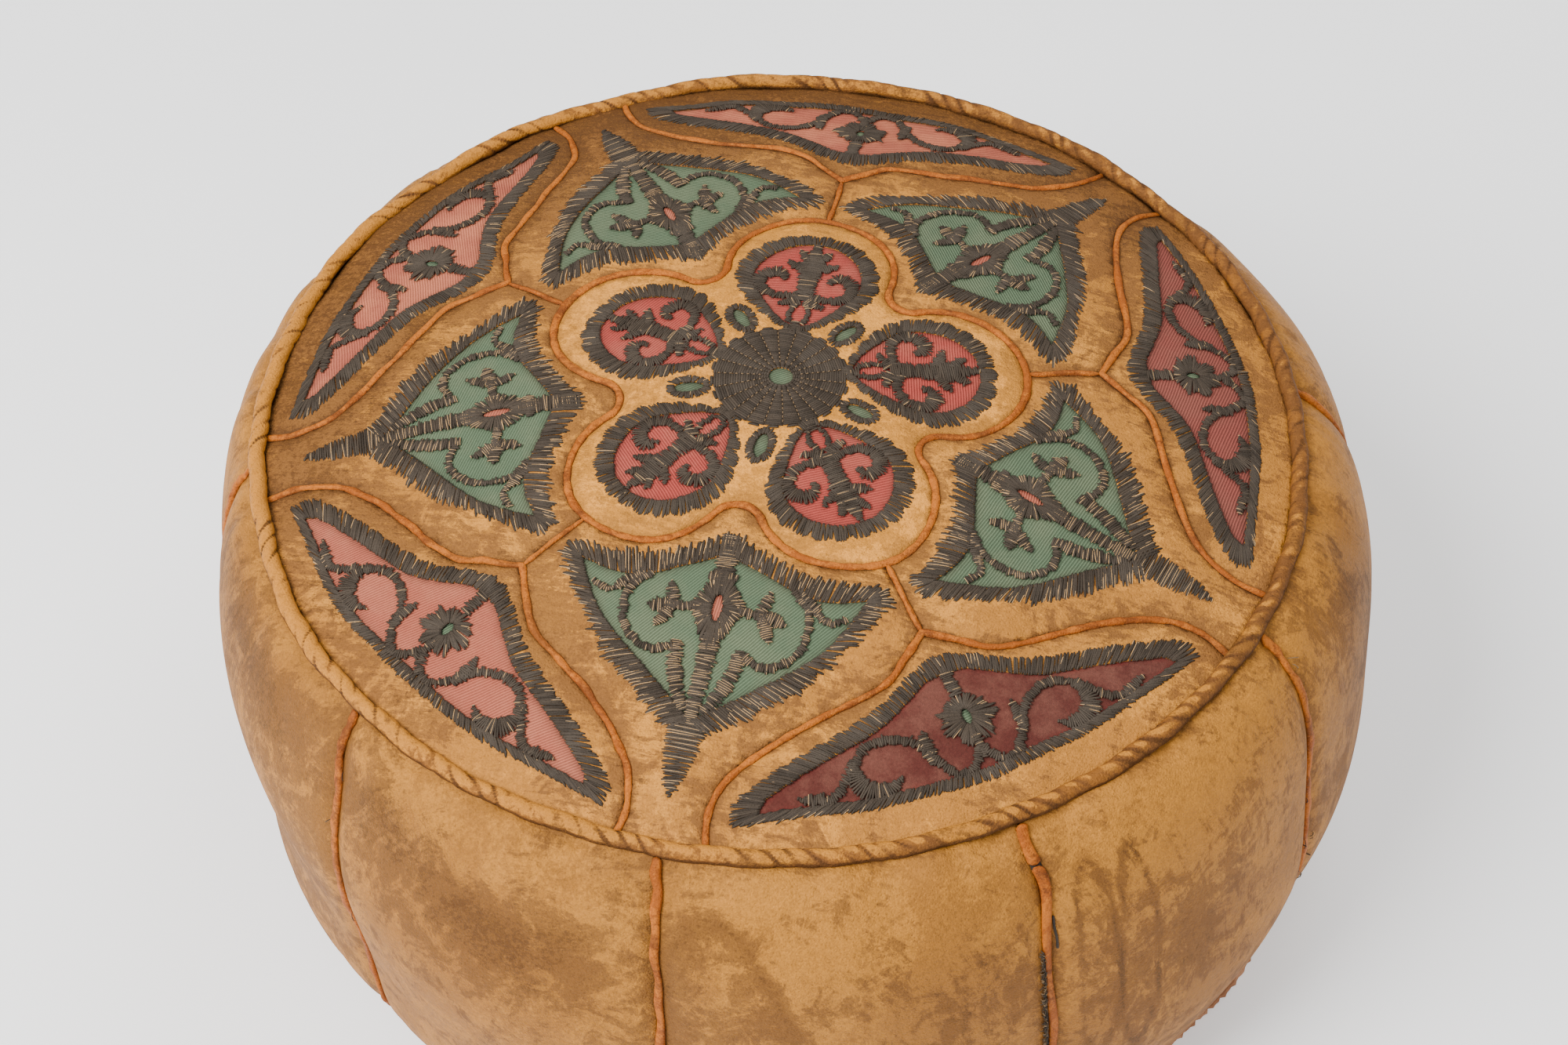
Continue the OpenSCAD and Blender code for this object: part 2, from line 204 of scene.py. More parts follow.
def inside(points, outline):
    """Which points lie inside a closed outline."""
    x, y = points[:, 0], points[:, 1]
    odd = np.zeros(len(points), bool)
    for (x0, y0), (x1, y1) in zip(outline, np.roll(outline, -1, axis=0)):
        if y0 != y1:
            crosses = (y0 > y) != (y1 > y)
            odd ^= crosses & (x < (x1 - x0) * (y - y0) / (y1 - y0) + x0)
    return odd


LOBE_AT, LOBE_R, VALLEY_AT, APEX_AT = 73.0, 38.5, 72.5, 146.0
LOBE_CENTRE = LOBE_AT * np.array([math.sin(math.pi / 5), math.cos(math.pi / 5)])
VALLEY_ROUND = (LOBE_CENTRE[0] ** 2 + (VALLEY_AT - LOBE_CENTRE[1]) ** 2 - LOBE_R**2) / (
    2 * (LOBE_R - VALLEY_AT + LOBE_CENTRE[1])
)
VALLEY_CENTRE = np.array([0, VALLEY_AT + VALLEY_ROUND])
MEETING = math.degrees(math.atan2(*(VALLEY_CENTRE - LOBE_CENTRE)[::-1]))
OGEE = path_through(
    [(0, APEX_AT), (12, 154.5), (27, 163.5), (60, 166.5), (95, 172), (113, 184), (122, 201)], 8
)


def rosette_half(out=0.0):
    """From a valley of the rosette to a lobe's tip, in a kite's frame, moved outwards."""
    valley = arc(VALLEY_CENTRE, VALLEY_ROUND - out, 270, MEETING + 180, 7)
    lobe = arc(LOBE_CENTRE, LOBE_R + out, MEETING, 54, 26)
    return np.vstack([valley[:-1], lobe])


def rosette_outline(out=0.0):
    right = rosette_half(out)
    bay = np.vstack([mirrored(right[::-1])[:-1], right[:-1]])
    return np.vstack([turned(bay, -TURN * i) for i in range(REPEATS)])


def kite_outline(inset, edge_radius):
    """A kite's cut edge, in its own frame, drawn in from its seams."""
    ogee = turned(mirrored(beside(OGEE, -inset)), -TURN / 2)
    ogee = ogee[(np.hypot(*ogee.T) < edge_radius) & (np.arange(len(ogee)) > 1)]
    edge = np.degrees(np.arctan2(ogee[-1][1], ogee[-1][0]))
    rosette = rosette_half(inset)
    spoke = turned([[-inset, LOBE_AT + LOBE_R + inset], [-inset, APEX_AT - inset]], -TURN / 2)
    return both_halves(
        np.vstack([rosette[:-1], evenly(spoke, 4), ogee, arc((0, 0), edge_radius, edge, 90, 6)])
    )


def outer_outline(inset, edge_radius):
    ogee = beside(OGEE, inset)
    ogee = ogee[(np.hypot(*ogee.T) < edge_radius) & (np.arange(len(ogee)) > 0)]
    edge = np.degrees(np.arctan2(ogee[-1][1], ogee[-1][0]))
    return both_halves(
        np.vstack([[(0, APEX_AT + inset * 1.2)], ogee, arc((0, 0), edge_radius, edge, 90, 26)])
    )


# Windows cut in the leather, and the outer edges of the stitched borders round them: right
# halves, from the side that faces the middle to the side that faces the rim.
KITE_SILL = path_through([(0, 100), (18, 108), (34, 115), (48, 115), (62, 111)])
KITE_FLANK = path_through([(62, 111), (56, 124), (48, 137), (34, 151), (14, 167), (0, 178)])
KITE_SILL_EDGE = path_through([(0, 87), (10, 94), (20, 99), (30, 103), (47, 105), (66, 103)])
KITE_FLANK_EDGE = path_through([(71, 110), (66, 121), (57, 134), (42, 156), (22, 173), (8, 184)])
OUTER_SILL = path_through([(0, 167), (9, 168), (20, 174), (35, 181), (52, 184), (72, 187), (92, 190)])
OUTER_HEAD = path_through([(97, 194), (60, 205), (30, 210), (0, 212)])
OUTER_SILL_EDGE = path_through(
    [(0, 157), (15, 163), (30, 171), (45, 175), (62, 178), (84, 181), (100, 184)]
)
OUTER_HEAD_EDGE = path_through([(108, 194), (60, 209), (30, 214.5), (0, 217)])
PETAL_WINDOW = path_through(
    [(0, 31), (9, 37), (18, 48), (24, 58), (25, 68), (20, 80), (10, 88), (0, 90)]
)
PETAL_EDGE = path_through(
    [(0, 27), (13, 36), (24, 46), (31, 57), (33, 68), (29, 81), (17, 93), (0, 97)]
)
KITE_CUT = both_halves(np.vstack([KITE_SILL, KITE_FLANK[1:]]))
OUTER_CUT = both_halves(np.vstack([OUTER_SILL, OUTER_HEAD]))
PETAL_CUT = both_halves(PETAL_WINDOW)
LEAF_AT, LEAF_RING, LEAF_WINDOW = (0, 40.5), (6.5, 10.5), (3.2, 7.2)
EYE_AT, EYE = (0, 127), (2.6, 7)
FLOWER_AT, FLOWER_DOT = (0, 188.5), (2.6, 4)
DISC_R, DISC_DOT = 29.5, 5.5


# ---- the pouf's surfaces ---------------------------------------------------------------------


class Ripple:
    """A gentle hand-made unevenness: a few long waves with seeded directions."""

    def __init__(self, seed, wavelengths):
        rng = np.random.default_rng(seed)
        angle = rng.uniform(0, 2 * math.pi, len(wavelengths))
        self.k = 2 * math.pi / np.asarray(wavelengths, float)
        self.kx, self.ky = self.k * np.cos(angle), self.k * np.sin(angle)
        self.phase = rng.uniform(0, 2 * math.pi, len(wavelengths))

    def __call__(self, x, y):
        total = 0
        for kx, ky, phase in zip(self.kx, self.ky, self.phase):
            total = total + np.sin(kx * x + ky * y + phase)
        return total / math.sqrt(len(self.kx))


class Form:
    """The pouf's top and wall, in millimetres."""

    GROOVE, GROOVE_WIDTH = 1.7, 5.0  # along the seams of the top
    EDGE_DIP, EDGE_DIP_WIDTH = 0.5, 9.0  # where the top meets the cord
    SAG, DRIFT = 0.8, 0.9
    TUCK = 1.2  # how far the wall starts outside the cord's centre
    LEAN, FORWARD = 14.0, 5.0
    SWELL, SWELL_BASE = 4.6, 1.5  # each gore between its seams
    PINCH, PINCH_WIDTH = 2.6, 5.5
    LUMPS, PUCKERS = 2.4, 1.1
    HOLLOW, SLUMP = 11.0, 2.5  # on the slack left side

    def __init__(self, sizes):
        self.rim = sizes.rim_radius / MM
        self.cord = sizes.cord_radius / MM
        self.cord_z = sizes.cord_height / MM
        self.seam_z = sizes.seam_height / MM
        self.rise = sizes.crown_rise / MM
        self.belly = sizes.belly_radius / MM
        self.belly_z = sizes.belly_height / MM
        self.foot = sizes.foot_radius / MM
        self.foot_z = sizes.foot_height / MM
        self.hide = sizes.hide / MM
        self.lean_right = turned([(1, 0)], VIEW_TURN)[0]
        self.lean_front = turned([(0, -1)], VIEW_TURN)[0]
        self.top_edge = self.rim - self.cord + 1.5
        self.wall_top = self.rim + self.TUCK
        self.sphere = (self.rim**2 + self.rise**2) / (2 * self.rise)
        self.sphere_z = self.seam_z + self.rise - self.sphere
        self.sag = Ripple(3, (150, 95, 70, 48))
        self.drift_x = Ripple(5, (170, 110, 80))
        self.drift_y = Ripple(6, (160, 120, 75))
        self.wall_lumps = Ripple(8, (0.9, 1.7, 0.62, 0.45))
        self.puckers = Ripple(9, (0.10, 0.071, 0.135, 0.052))
        self.seams = np.vstack(
            [
                evenly(rosette_half(), 1.2),
                turned([(0, r) for r in np.arange(LOBE_AT + LOBE_R, APEX_AT, 1.2)], -TURN / 2),
                turned(mirrored(evenly(OGEE, 1.2)), -TURN / 2),
            ]
        )

    def seam_distance(self, x, y):
        """Distance from the nearest seam of the top. The pattern is folded on to half a kite."""
        shape = np.shape(x)
        x, y = np.ravel(x), np.ravel(y)
        r = np.hypot(x, y)
        a = np.degrees(np.arctan2(y, x)) - KITE_AXES[0]
        a = np.radians(np.abs((a + TURN / 2) % TURN - TURN / 2))
        px, py = r * np.sin(a), r * np.cos(a)
        best = np.full(px.shape, 1e9)
        for sx, sy in self.seams:
            np.minimum(best, (px - sx) ** 2 + (py - sy) ** 2, out=best)
        return np.sqrt(best).reshape(shape)

    def crown_z(self, x, y):
        r = np.hypot(x, y)
        z = self.sphere_z + np.sqrt(self.sphere**2 - r**2)
        z = z - self.GROOVE * np.exp(-self.seam_distance(x, y) / self.GROOVE_WIDTH)
        z = z - self.EDGE_DIP * np.exp(-np.maximum(self.top_edge - r, 0) / self.EDGE_DIP_WIDTH)
        return z + self.SAG * self.sag(x, y)

    def on_top(self, flat, height=0.0):
        """Lays flat points on the domed top, lifted off it by height."""
        x, y = flat[:, 0], flat[:, 1]
        step = 0.7
        z = self.crown_z(x, y)
        slope_x = (self.crown_z(x + step, y) - z) / step
        slope_y = (self.crown_z(x, y + step) - z) / step
        normal = np.stack([-slope_x, -slope_y, np.ones_like(z)], 1)
        normal /= np.linalg.norm(normal, axis=1)[:, None]
        free = np.clip((self.rim - np.hypot(x, y)) / 30, 0, 1)
        drift = self.DRIFT * free
        ground = np.stack([x + drift * self.drift_x(x, y), y + drift * self.drift_y(x, y), z], 1)
        return ground + normal * np.reshape(height, (-1, 1))

    def wall_profile(self, v):
        """Radius, height and outward direction at v, from 0 at the rim to 1 at the foot."""
        t = v * math.pi
        upper = v < 0.5
        centre = np.where(upper, self.wall_top, self.foot)
        reach = self.belly - centre
        drop = np.where(upper, self.seam_z - self.belly_z, self.belly_z - self.foot_z)
        sin, cos = np.sin(t), np.cos(t)
        out = np.stack([sin * drop, cos * reach], -1)
        out /= np.linalg.norm(out, axis=-1)[..., None]
        return centre + reach * sin, self.belly_z + drop * cos, out

    def lean(self, v):
        """How far the slack body has slumped sideways, in flat directions."""
        v = np.asarray(v, float)[..., None]
        return self.LEAN * v * self.lean_right + self.FORWARD * np.sin(np.pi * v) * self.lean_front

    def on_wall(self, angle, v, height=0.0):
        """A point on the stuffed wall at an angle in degrees, lifted off it by height."""
        angle, v = np.broadcast_arrays(np.asarray(angle, float), np.asarray(v, float))
        r, z, out = self.wall_profile(v)
        part = ((angle - SEAM_ANGLES[0]) / GORE_TURN) % 1
        seam = np.minimum(part, 1 - part) * math.radians(GORE_TURN) * r
        fullness = np.sin(np.pi * v) ** 0.7
        swell = self.SWELL * np.sin(np.pi * part) ** 0.75 * fullness - self.SWELL_BASE
        pinch = -self.PINCH * np.exp(-((seam / self.PINCH_WIDTH) ** 2)) * (0.35 + 0.65 * fullness)
        a = np.radians(angle)
        lumps = self.LUMPS * self.wall_lumps(a, 1.3 * v + 0.2 * a) * fullness
        rise = np.exp(-((v / 0.16) ** 2))
        pucker = self.PUCKERS * self.puckers(a, 0.05 * v) * rise * np.clip(v / 0.03, 0, 1)
        lift = (swell + pinch + lumps) * np.clip(v / 0.05, 0, 1) + pucker + height
        hollow = np.clip(np.cos(a - math.radians(VIEW_TURN + 180)), 0, 1) ** 2
        lift = lift - self.HOLLOW * hollow * np.exp(-(((v - 0.5) / 0.2) ** 2))
        slump = np.clip(np.cos(a - math.radians(VIEW_TURN + 215)), 0, 1)
        low = np.exp(-(((v - 0.82) / 0.12) ** 2)) * np.clip((1 - v) / 0.06, 0, 1)
        lift = lift + self.SLUMP * slump * low
        r = r + out[..., 0] * lift
        z = z + out[..., 1] * lift
        shift = self.lean(v)
        return np.stack([r * np.cos(a) + shift[..., 0], r * np.sin(a) + shift[..., 1], z], -1)

    def under(self, flat, height=0.0):
        """Lays flat points on the base, which is dished up round the lacing."""
        r = np.hypot(*flat.T)
        out = np.clip((r - 115) / (self.foot - 125), 0, 1)
        rise = BASE_DISH * np.clip((150 - r) / 38, 0, 1)
        place = flat + self.lean(1.0) * (out * out * (3 - 2 * out))[:, None]
        return np.column_stack([place, rise + height])


# ---- meshes ----------------------------------------------------------------------------------


def piece(name, points, faces, finish, stands_for=None, values=None):
    """A mesh piece of the pouf, from points in millimetres."""
    mesh = bpy.data.meshes.new(name)
    mesh.from_pydata((np.asarray(points) * MM).tolist(), [], [list(map(int, f)) for f in faces])
    mesh.validate()
    mesh.polygons.foreach_set("use_smooth", [True] * len(mesh.polygons))
    for key, numbers in (values or {}).items():
        layer = mesh.attributes.new(key, "FLOAT", "POINT")
        layer.data.foreach_set("value", np.asarray(numbers, np.float32))
    mesh.materials.append(finish)
    obj = bpy.data.objects.new(name, mesh)
    bpy.context.scene.collection.objects.link(obj)
    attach(obj, "root")
    if stands_for:
        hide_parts(stands_for)
    return obj


def flat_mesh(outline, holes=(), step=3.0):
    """Fills a closed outline, less its holes, with even triangles."""
    loops = [outline, *holes]
    low, high = outline.min(0), outline.max(0)
    rows = []
    for i, y in enumerate(np.arange(low[1], high[1], step * 0.866)):
        x = np.arange(low[0] + (i % 2) * step / 2, high[0], step)
        rows.append(np.column_stack([x, np.full(len(x), y)]))
    grid = np.vstack(rows)
    keep = inside(grid, outline)
    for hole in holes:
        keep &= ~inside(grid, hole)
    rim = np.vstack([np.vstack([(loop + np.roll(loop, -1, 0)) / 2, loop]) for loop in loops])
    for part in np.array_split(rim, max(1, len(rim) // 200)):
        keep &= ((grid[:, None] - part[None]) ** 2).sum(2).min(1) >= (0.45 * step) ** 2
    points, edges = [], []
    for loop in loops:
        start = len(points)
        points += [Vector(p) for p in loop]
        count = len(loop)
        edges += [(start + i, start + (i + 1) % count) for i in range(count)]
    points += [Vector(p) for p in grid[keep]]
    made, _, faces, _, _, _ = geometry.delaunay_2d_cdt(points, edges, [], 0, 1e-5)
    flat = np.array([tuple(p) for p in made])
    faces = np.array([f for f in faces if len(f) == 3])
    middle = flat[faces].mean(1)
    keep = inside(middle, outline)
    for hole in holes:
        keep &= ~inside(middle, hole)
    faces = faces[keep]
    a, b, c = (flat[faces[:, i]] for i in range(3))
    area = (b[:, 0] - a[:, 0]) * (c[:, 1] - a[:, 1]) - (b[:, 1] - a[:, 1]) * (c[:, 0] - a[:, 0])
    faces = np.where((area > 0)[:, None], faces, faces[:, ::-1])
    return flat, faces[np.abs(area) > 1e-6]


def border_edges(faces):
    """Directed edges that only one face uses."""
    edges = np.vstack([faces[:, [0, 1]], faces[:, [1, 2]], faces[:, [2, 0]]])
    seen = {tuple(e) for e in edges.tolist()}
    return [e for e in seen if (e[1], e[0]) not in seen]


def slab(flat, faces, surface, thickness, lift=0.0):
    """A closed sheet of that thickness, whose face follows surface(flat, height)."""
    used, flat_faces = np.unique(faces, return_inverse=True)
    flat, faces = flat[used], flat_faces.reshape(-1, 3)
    count = len(flat)
    points = np.vstack([surface(flat, lift), surface(flat, lift - thickness)])
    sides = [(b, a, a + count, b + count) for a, b in border_edges(faces)]
    return points, faces.tolist() + (faces[:, ::-1] + count).tolist() + sides, flat


def tube(rings):
    """A closed tube through rings, an array of (ring, side, xyz)."""
    n, k, _ = rings.shape
    index = np.arange(n * k).reshape(n, k)
    here, ahead = index[:-1], index[1:]
    quads = np.stack([here, np.roll(here, -1, 1), np.roll(ahead, -1, 1), ahead], -1).reshape(-1, 4)
    return rings.reshape(-1, 3), quads.tolist() + [index[0][::-1].tolist(), index[-1].tolist()]


def wrapped(rings):
    """A ring of rings that closes on itself both ways, from an array of (ring, side, xyz)."""
    n, k, _ = rings.shape
    index = np.arange(n * k).reshape(n, k)
    ahead = np.roll(index, -1, 0)
    quads = np.stack([index, np.roll(index, -1, 1), np.roll(ahead, -1, 1), ahead], -1).reshape(-1, 4)
    return rings.reshape(-1, 3), quads


def joined(parts):
    """Several (points, faces) as one."""
    points, faces, start = [], [], 0
    for p, f in parts:
        points.append(p)
        faces += [[i + start for i in face] for face in f]
        start += len(p)
    return np.vstack(points), faces


# ---- embroidery ------------------------------------------------------------------------------


class Needle:
    """Collects stitches, each a straight thread from one flat point to another."""

    THICK = 0.36
    STRAW = {"width": 0.36, "tone": 1.0, "lift": 1.25}

    def __init__(self, seed):
        self.rng = np.random.default_rng(seed)
        self.starts, self.ends, self.widths, self.tones, self.lifts = [], [], [], [], []

    def stitch(self, start, end, width, tone=None, lift=1.0):
        self.starts.append(np.asarray(start, float))
        self.ends.append(np.asarray(end, float))
        self.widths.append(width)
        self.tones.append(self.rng.uniform(0, 0.8) if tone is None else tone)
        self.lifts.append(lift)

    def straw(self, start, end):
        """A thin pale strand, just above its neighbours."""
        self.stitch(start, end, **self.STRAW)

    def row(
        self,
        inner,
        outer,
        pitch=1.0,
        ragged=0.7,
        width=1.05,
        straw=0.1,
        slant=0.0,
        scallop=0,
        swell=2.8,
    ):
        """Side by side stitches between two edges, with a ragged or scalloped outer edge."""
        long = max(np.linalg.norm(np.diff(e, axis=0), axis=1).sum() for e in (inner, outer))
        count = max(2, int(long / pitch))
        a, b = evenly(inner, count=count), evenly(outer, count=count)
        shift = int(round(slant * count / 100))
        for i in range(count):
            p, q = a[i], b[min(count - 1, max(0, i + shift))]
            way = q - p
            size = max(np.linalg.norm(way), 1e-6)
            way = way / size
            side = np.array([-way[1], way[0]])
            reach = self.rng.normal(0, ragged)
            if scallop:
                phase = (i * pitch / scallop) % 1
                reach += swell * (math.sqrt(max(0, 1 - (2 * phase - 1) ** 2)) - 0.7)
            start = p - way * self.rng.uniform(0.2, 0.9) + side * self.rng.normal(0, 0.25)
            end = q + way * reach + side * self.rng.normal(0, 0.45)
            self.stitch(start, end, width * self.rng.uniform(0.9, 1.2))
            if self.rng.random() < straw:
                gap = side * pitch * 0.55
                trim = self.rng.uniform(0.0, 0.35) * size
                self.straw(start + gap + way * trim, end + gap)

    def satin(self, path, width, pitch=0.95, straw=0.1):
        """Stitches across a path. The width is a number or a function of how far along it is."""
        line = evenly(np.asarray(path, float), pitch)
        heading = np.gradient(line, axis=0)
        heading /= np.maximum(np.linalg.norm(heading, axis=1), 1e-9)[:, None]
        side = np.stack([-heading[:, 1], heading[:, 0]], 1)
        for i, at in enumerate(np.linspace(0, 1, len(line))):
            half = (width(at) if callable(width) else width) / 2
            if half < 0.35:
                continue
            lean = heading[i] * self.rng.normal(0, 0.25)
            a, b = half + self.rng.normal(0, 0.45), half + self.rng.normal(0, 0.45)
            p, q = line[i] - side[i] * a - lean, line[i] + side[i] * b + lean
            self.stitch(p, q, self.rng.uniform(0.9, 1.2))
            if self.rng.random() < straw:
                step = heading[i] * pitch * 0.5
                self.straw(p + step, q + step)

    def leaf(self, base, tip, width, **more):
        """A pointed leaf of stitches across its vein."""
        self.satin(
            [base, tip], lambda t: width * math.sin(math.pi * min(1, 0.12 + 0.88 * t)) ** 0.8, **more
        )

    def spiral_leaf(self, points, widths, **more):
        """A curl whose width changes along it, given at even steps."""
        path = path_through(points)
        self.satin(path, tapering(np.linspace(0, 1, len(widths)), widths), **more)

    def paired(self, method, points, *rest, **more):
        """The same stitches on both sides of the axis."""
        getattr(self, method)(points, *rest, **more)
        if isinstance(points, tuple):
            rest = (tuple(mirrored(rest[0])), *rest[1:])
            getattr(self, method)(tuple(mirrored(points)), *rest, **more)
        else:
            getattr(self, method)(mirrored(points), *rest, **more)

    def mesh(self, surface, to_place, base):
        """All the stitches as closed threads lying on the surface."""
        start, end = to_place(np.array(self.starts)), to_place(np.array(self.ends))
        width, tone, lift = (np.array(v)[:, None] for v in (self.widths, self.tones, self.lifts))
        at = np.array([0.0, 0.12, 0.5, 0.88, 1.0])
        bow = np.array([-0.4, 0.6, 1.0, 0.6, -0.4])
        girth = np.array([0.5, 0.95, 1.0, 0.95, 0.5])
        turn = np.linspace(0, 2 * math.pi, 5, endpoint=False) + math.pi / 10
        way = end - start
        way /= np.maximum(np.linalg.norm(way, axis=1), 1e-6)[:, None]
        side = np.stack([-way[:, 1], way[:, 0]], 1)
        count, rings, sides = len(start), len(at), len(turn)
        line = start[:, None] + (end - start)[:, None] * at[None, :, None]
        across = np.cos(turn)[None, None] * (width * girth[None] / 2)[..., None]
        flat = line[:, :, None] + side[:, None, None] * across[..., None]
        thick = self.THICK * girth[None, :, None] * np.minimum(width * 1.3, 1)[..., None]
        up = np.sin(turn)[None, None] * thick
        height = base + up + (bow[None] * 0.28 * lift)[..., None]
        points = surface(flat.reshape(-1, 2), height.reshape(-1))
        index = np.arange(count * rings * sides).reshape(count, rings, sides)
        here, ahead = index[:, :-1], index[:, 1:]
        quads = np.stack([here, np.roll(here, -1, 2), np.roll(ahead, -1, 2), ahead], -1).reshape(-1, 4)
        caps = np.vstack([index[:, 0][:, ::-1], index[:, -1]])
        tones = np.repeat(tone[:, 0], rings * sides)
        return points, quads.tolist() + caps.tolist(), tones


# ---- shader maths ----------------------------------------------------------------------------


class Wire:
    """A node's output. Arithmetic on it adds Math nodes."""

    def __init__(self, finish, socket):
        self.finish, self.socket = finish, socket

    def maths(self, operation, *values):
        return self.finish.node("Math", {"operation": operation}, dict(enumerate(values)))

    def __add__(self, other):
        return self.maths("ADD", self, other)

    __radd__ = __add__

    def __sub__(self, other):
        return self.maths("SUBTRACT", self, other)

    def __rsub__(self, other):
        return self.maths("SUBTRACT", other, self)

    def __mul__(self, other):
        return self.maths("MULTIPLY", self, other)

    __rmul__ = __mul__

    def __abs__(self):
        return self.maths("ABSOLUTE", self)

    def sin(self):
        return self.maths("SINE", self)

    def between(self, low, high):
        """0 below low, 1 above high, and a smooth step between them."""
        return self.finish.node(
            "MapRange",
            {"interpolation_type": "SMOOTHSTEP"},
            {"Value": self, "From Min": low, "From Max": high},
        )


class Finish:
    """One material and its nodes."""

    def __init__(self, name):
        self.material = bpy.data.materials.new(name)
        self.material.use_nodes = True
        self.tree = self.material.node_tree
        self.tree.nodes.clear()
        self.place = self.node("TexCoord", output="Object")

    def node(self, kind, settings=None, inputs=None, output=0):
        """A node of that type, with its settings made first and then its sockets."""
        made = self.tree.nodes.new("ShaderNode" + kind)
        for key, value in (settings or {}).items():
            setattr(made, key, value)
        for key, value in (inputs or {}).items():
            if isinstance(value, Wire):
                self.tree.links.new(value.socket, made.inputs[key])
            else:
                made.inputs[key].default_value = value
        return Wire(self, made.outputs[output]) if len(made.outputs) else None

    def value(self, name):
        """A number stored on the piece's points."""
        return self.node("Attribute", {"attribute_name": name}, output="Fac")

    def noise(self, scale, detail, roughness, place=None, distortion=0.0):
        return self.node(
            "TexNoise",
            None,
            {
                "Vector": place or self.place,
                "Scale": scale,
                "Detail": detail,
                "Roughness": roughness,
                "Distortion": distortion,
            },
        )

    def cells(self, scale):
        return self.node("TexVoronoi", {"feature": "F1"}, {"Vector": self.place, "Scale": scale})

    def stretched(self, x=1.0, y=1.0, z=1.0, turn=0.0):
        """The place on the object, turned about the upright and stretched."""
        return self.node(
            "Mapping",
            None,
            {"Vector": self.place, "Scale": (x, y, z), "Rotation": (0, 0, math.radians(turn))},
        )

    def blend(self, factor, first, second):
        def full(c):
            return c if isinstance(c, Wire) else (*c[:3], 1)

        return self.node(
            "Mix", {"data_type": "RGBA"}, {0: factor, 6: full(first), 7: full(second)}, output=2
        )

    def shade(self, colour, factor):
        """A colour made lighter or darker by a number."""
        return self.node("VectorMath", {"operation": "SCALE"}, {0: colour, "Scale": factor})

    def done(self, colour, roughness, height=None, relief=0.001, **fixed):
        """Ends the material in a Principled surface. height is in units of relief metres."""
        inputs = {"Base Color": colour, "Roughness": roughness, **fixed}
        if height is not None:
            bump = {"Height": height, "Distance": relief, "Strength": 1.0}
            inputs["Normal"] = self.node("Bump", None, bump)
        shader = self.node("BsdfPrincipled", None, inputs)
        self.node("OutputMaterial", None, {"Surface": shader})
        return self.material


FINISHES = {}


def leather(name, light, middle, dark, wear=1.0, flaky=1.0):
    """Old goatskin: golden where wear has paled it, mottled brown where it is soiled, finely grained.
    Its stored darkening also holds painted shade, and its stored paling a painted highlight on the rim
    cord.
    """
    f = Finish(name)
    # The first stored value darkens: dirt, and painted shade in seams, creases and under the rim cord.
    # The second pales: wear, and on the rim cord a painted highlight on its lit side.
    soil_and_shade, paling = f.value("soil_and_shade"), f.value("paling")
    clouds = f.noise(8, 5, 0.6, distortion=0.4)
    patches = f.noise(30, 10, 0.76, distortion=0.5)
    fleck = f.noise(120, 8, 0.8)
    spatter = f.noise(420, 5, 0.8)
    speckle = f.noise(1100, 3, 0.7)
    streaks = f.noise(60, 8, 0.8, f.stretched(1, 6, 1, 24), distortion=0.4)
    soft = 0.021 / flaky
    golden = patches * 0.55 + clouds * 0.25 + spatter * 0.2 + paling * 0.14 - soil_and_shade * 0.12
    colour = f.blend(golden.between(0.499 - soft, 0.499 + soft), middle, light)
    blots = f.noise(52, 10, 0.78, distortion=0.7)
    brown = blots * 0.5 + streaks * 0.25 + clouds * 0.25 + soil_and_shade * 0.17 - paling * 0.09
    colour = f.blend(brown.between(0.510, 0.560) * (0.72 * wear), colour, dark)
    deep = patches * 0.3 + spatter * 0.35 + fleck * 0.2 + streaks * 0.15 + soil_and_shade * 0.20
    colour = f.blend(deep.between(0.575, 0.64) * (0.75 * wear), colour, tuple(c * 0.45 for c in dark))
    lines = abs(streaks - 0.5).between(0.012, 0.0) * patches.between(0.44, 0.56) * (0.42 * wear)
    colour = f.blend(lines, colour, light)
    scratches = abs(f.noise(45, 7, 0.8, f.stretched(5, 1, 1, -35)) - 0.5).between(0.006, 0.0)
    colour = f.blend(scratches * (0.40 * wear), colour, dark)
    pits = f.cells(75).between(0.055, 0.03) * spatter.between(0.52, 0.62) * 0.7
    colour = f.blend(pits, colour, tuple(c * 0.3 for c in dark))
    colour = f.shade(colour, speckle * 0.9 + spatter * 0.9 + fleck * 0.5 - 0.13)
    height = (
        speckle * 0.16
        + f.cells(850).between(0.0, 0.6) * 0.10
        + fleck * 0.20
        + streaks * 0.10
        + f.noise(34, 3, 0.5) * 0.35
    )
    rough = 0.44 + 0.20 * fleck - paling * 0.05 + brown.between(0.5, 0.6) * 0.08
    return f.done(colour, rough, height, 0.0020, **{"Specular IOR Level": 0.09})


def twill(name, colour, pale, turn, ribs=830, fade=0.5):
    """Cotton twill: slanting ribs, faded on their tops, with painted shade in the grooves between them
    and along the window's edge, where the cloth runs under the leather.
    """
    f = Finish(name)
    across = f.node("SeparateXYZ", None, {0: f.stretched(turn=turn)}, output="X")
    wobble = f.noise(60, 2, 0.5) * 0.0014
    wave = ((across + wobble) * (2 * math.pi * ribs)).sin() * 0.5 + 0.5
    threads = f.noise(1400, 2, 0.6)
    fading = f.noise(38, 6, 0.65)
    soil_and_shade = f.value("soil_and_shade")
    base = f.blend(fading.between(0.38, 0.66) * fade, colour, pale)
    # The grooves between the ribs are darkened as painted shade, and the rib tops are faded paler.
    ribbed = f.blend(wave, f.shade(base, 0.66), f.shade(base, 1.2))
    # Darker along the window's edge: painted shade where the cloth runs under the leather.
    marked = f.blend(soil_and_shade.between(0.1, 1.0) * 0.65, ribbed, (0.035, 0.022, 0.016))
    final = f.shade(marked, threads * 0.5 + 0.75)
    return f.done(final, 0.9, wave * 0.6 + threads * 0.4, 0.0005, **{"Specular IOR Level": 0.08})


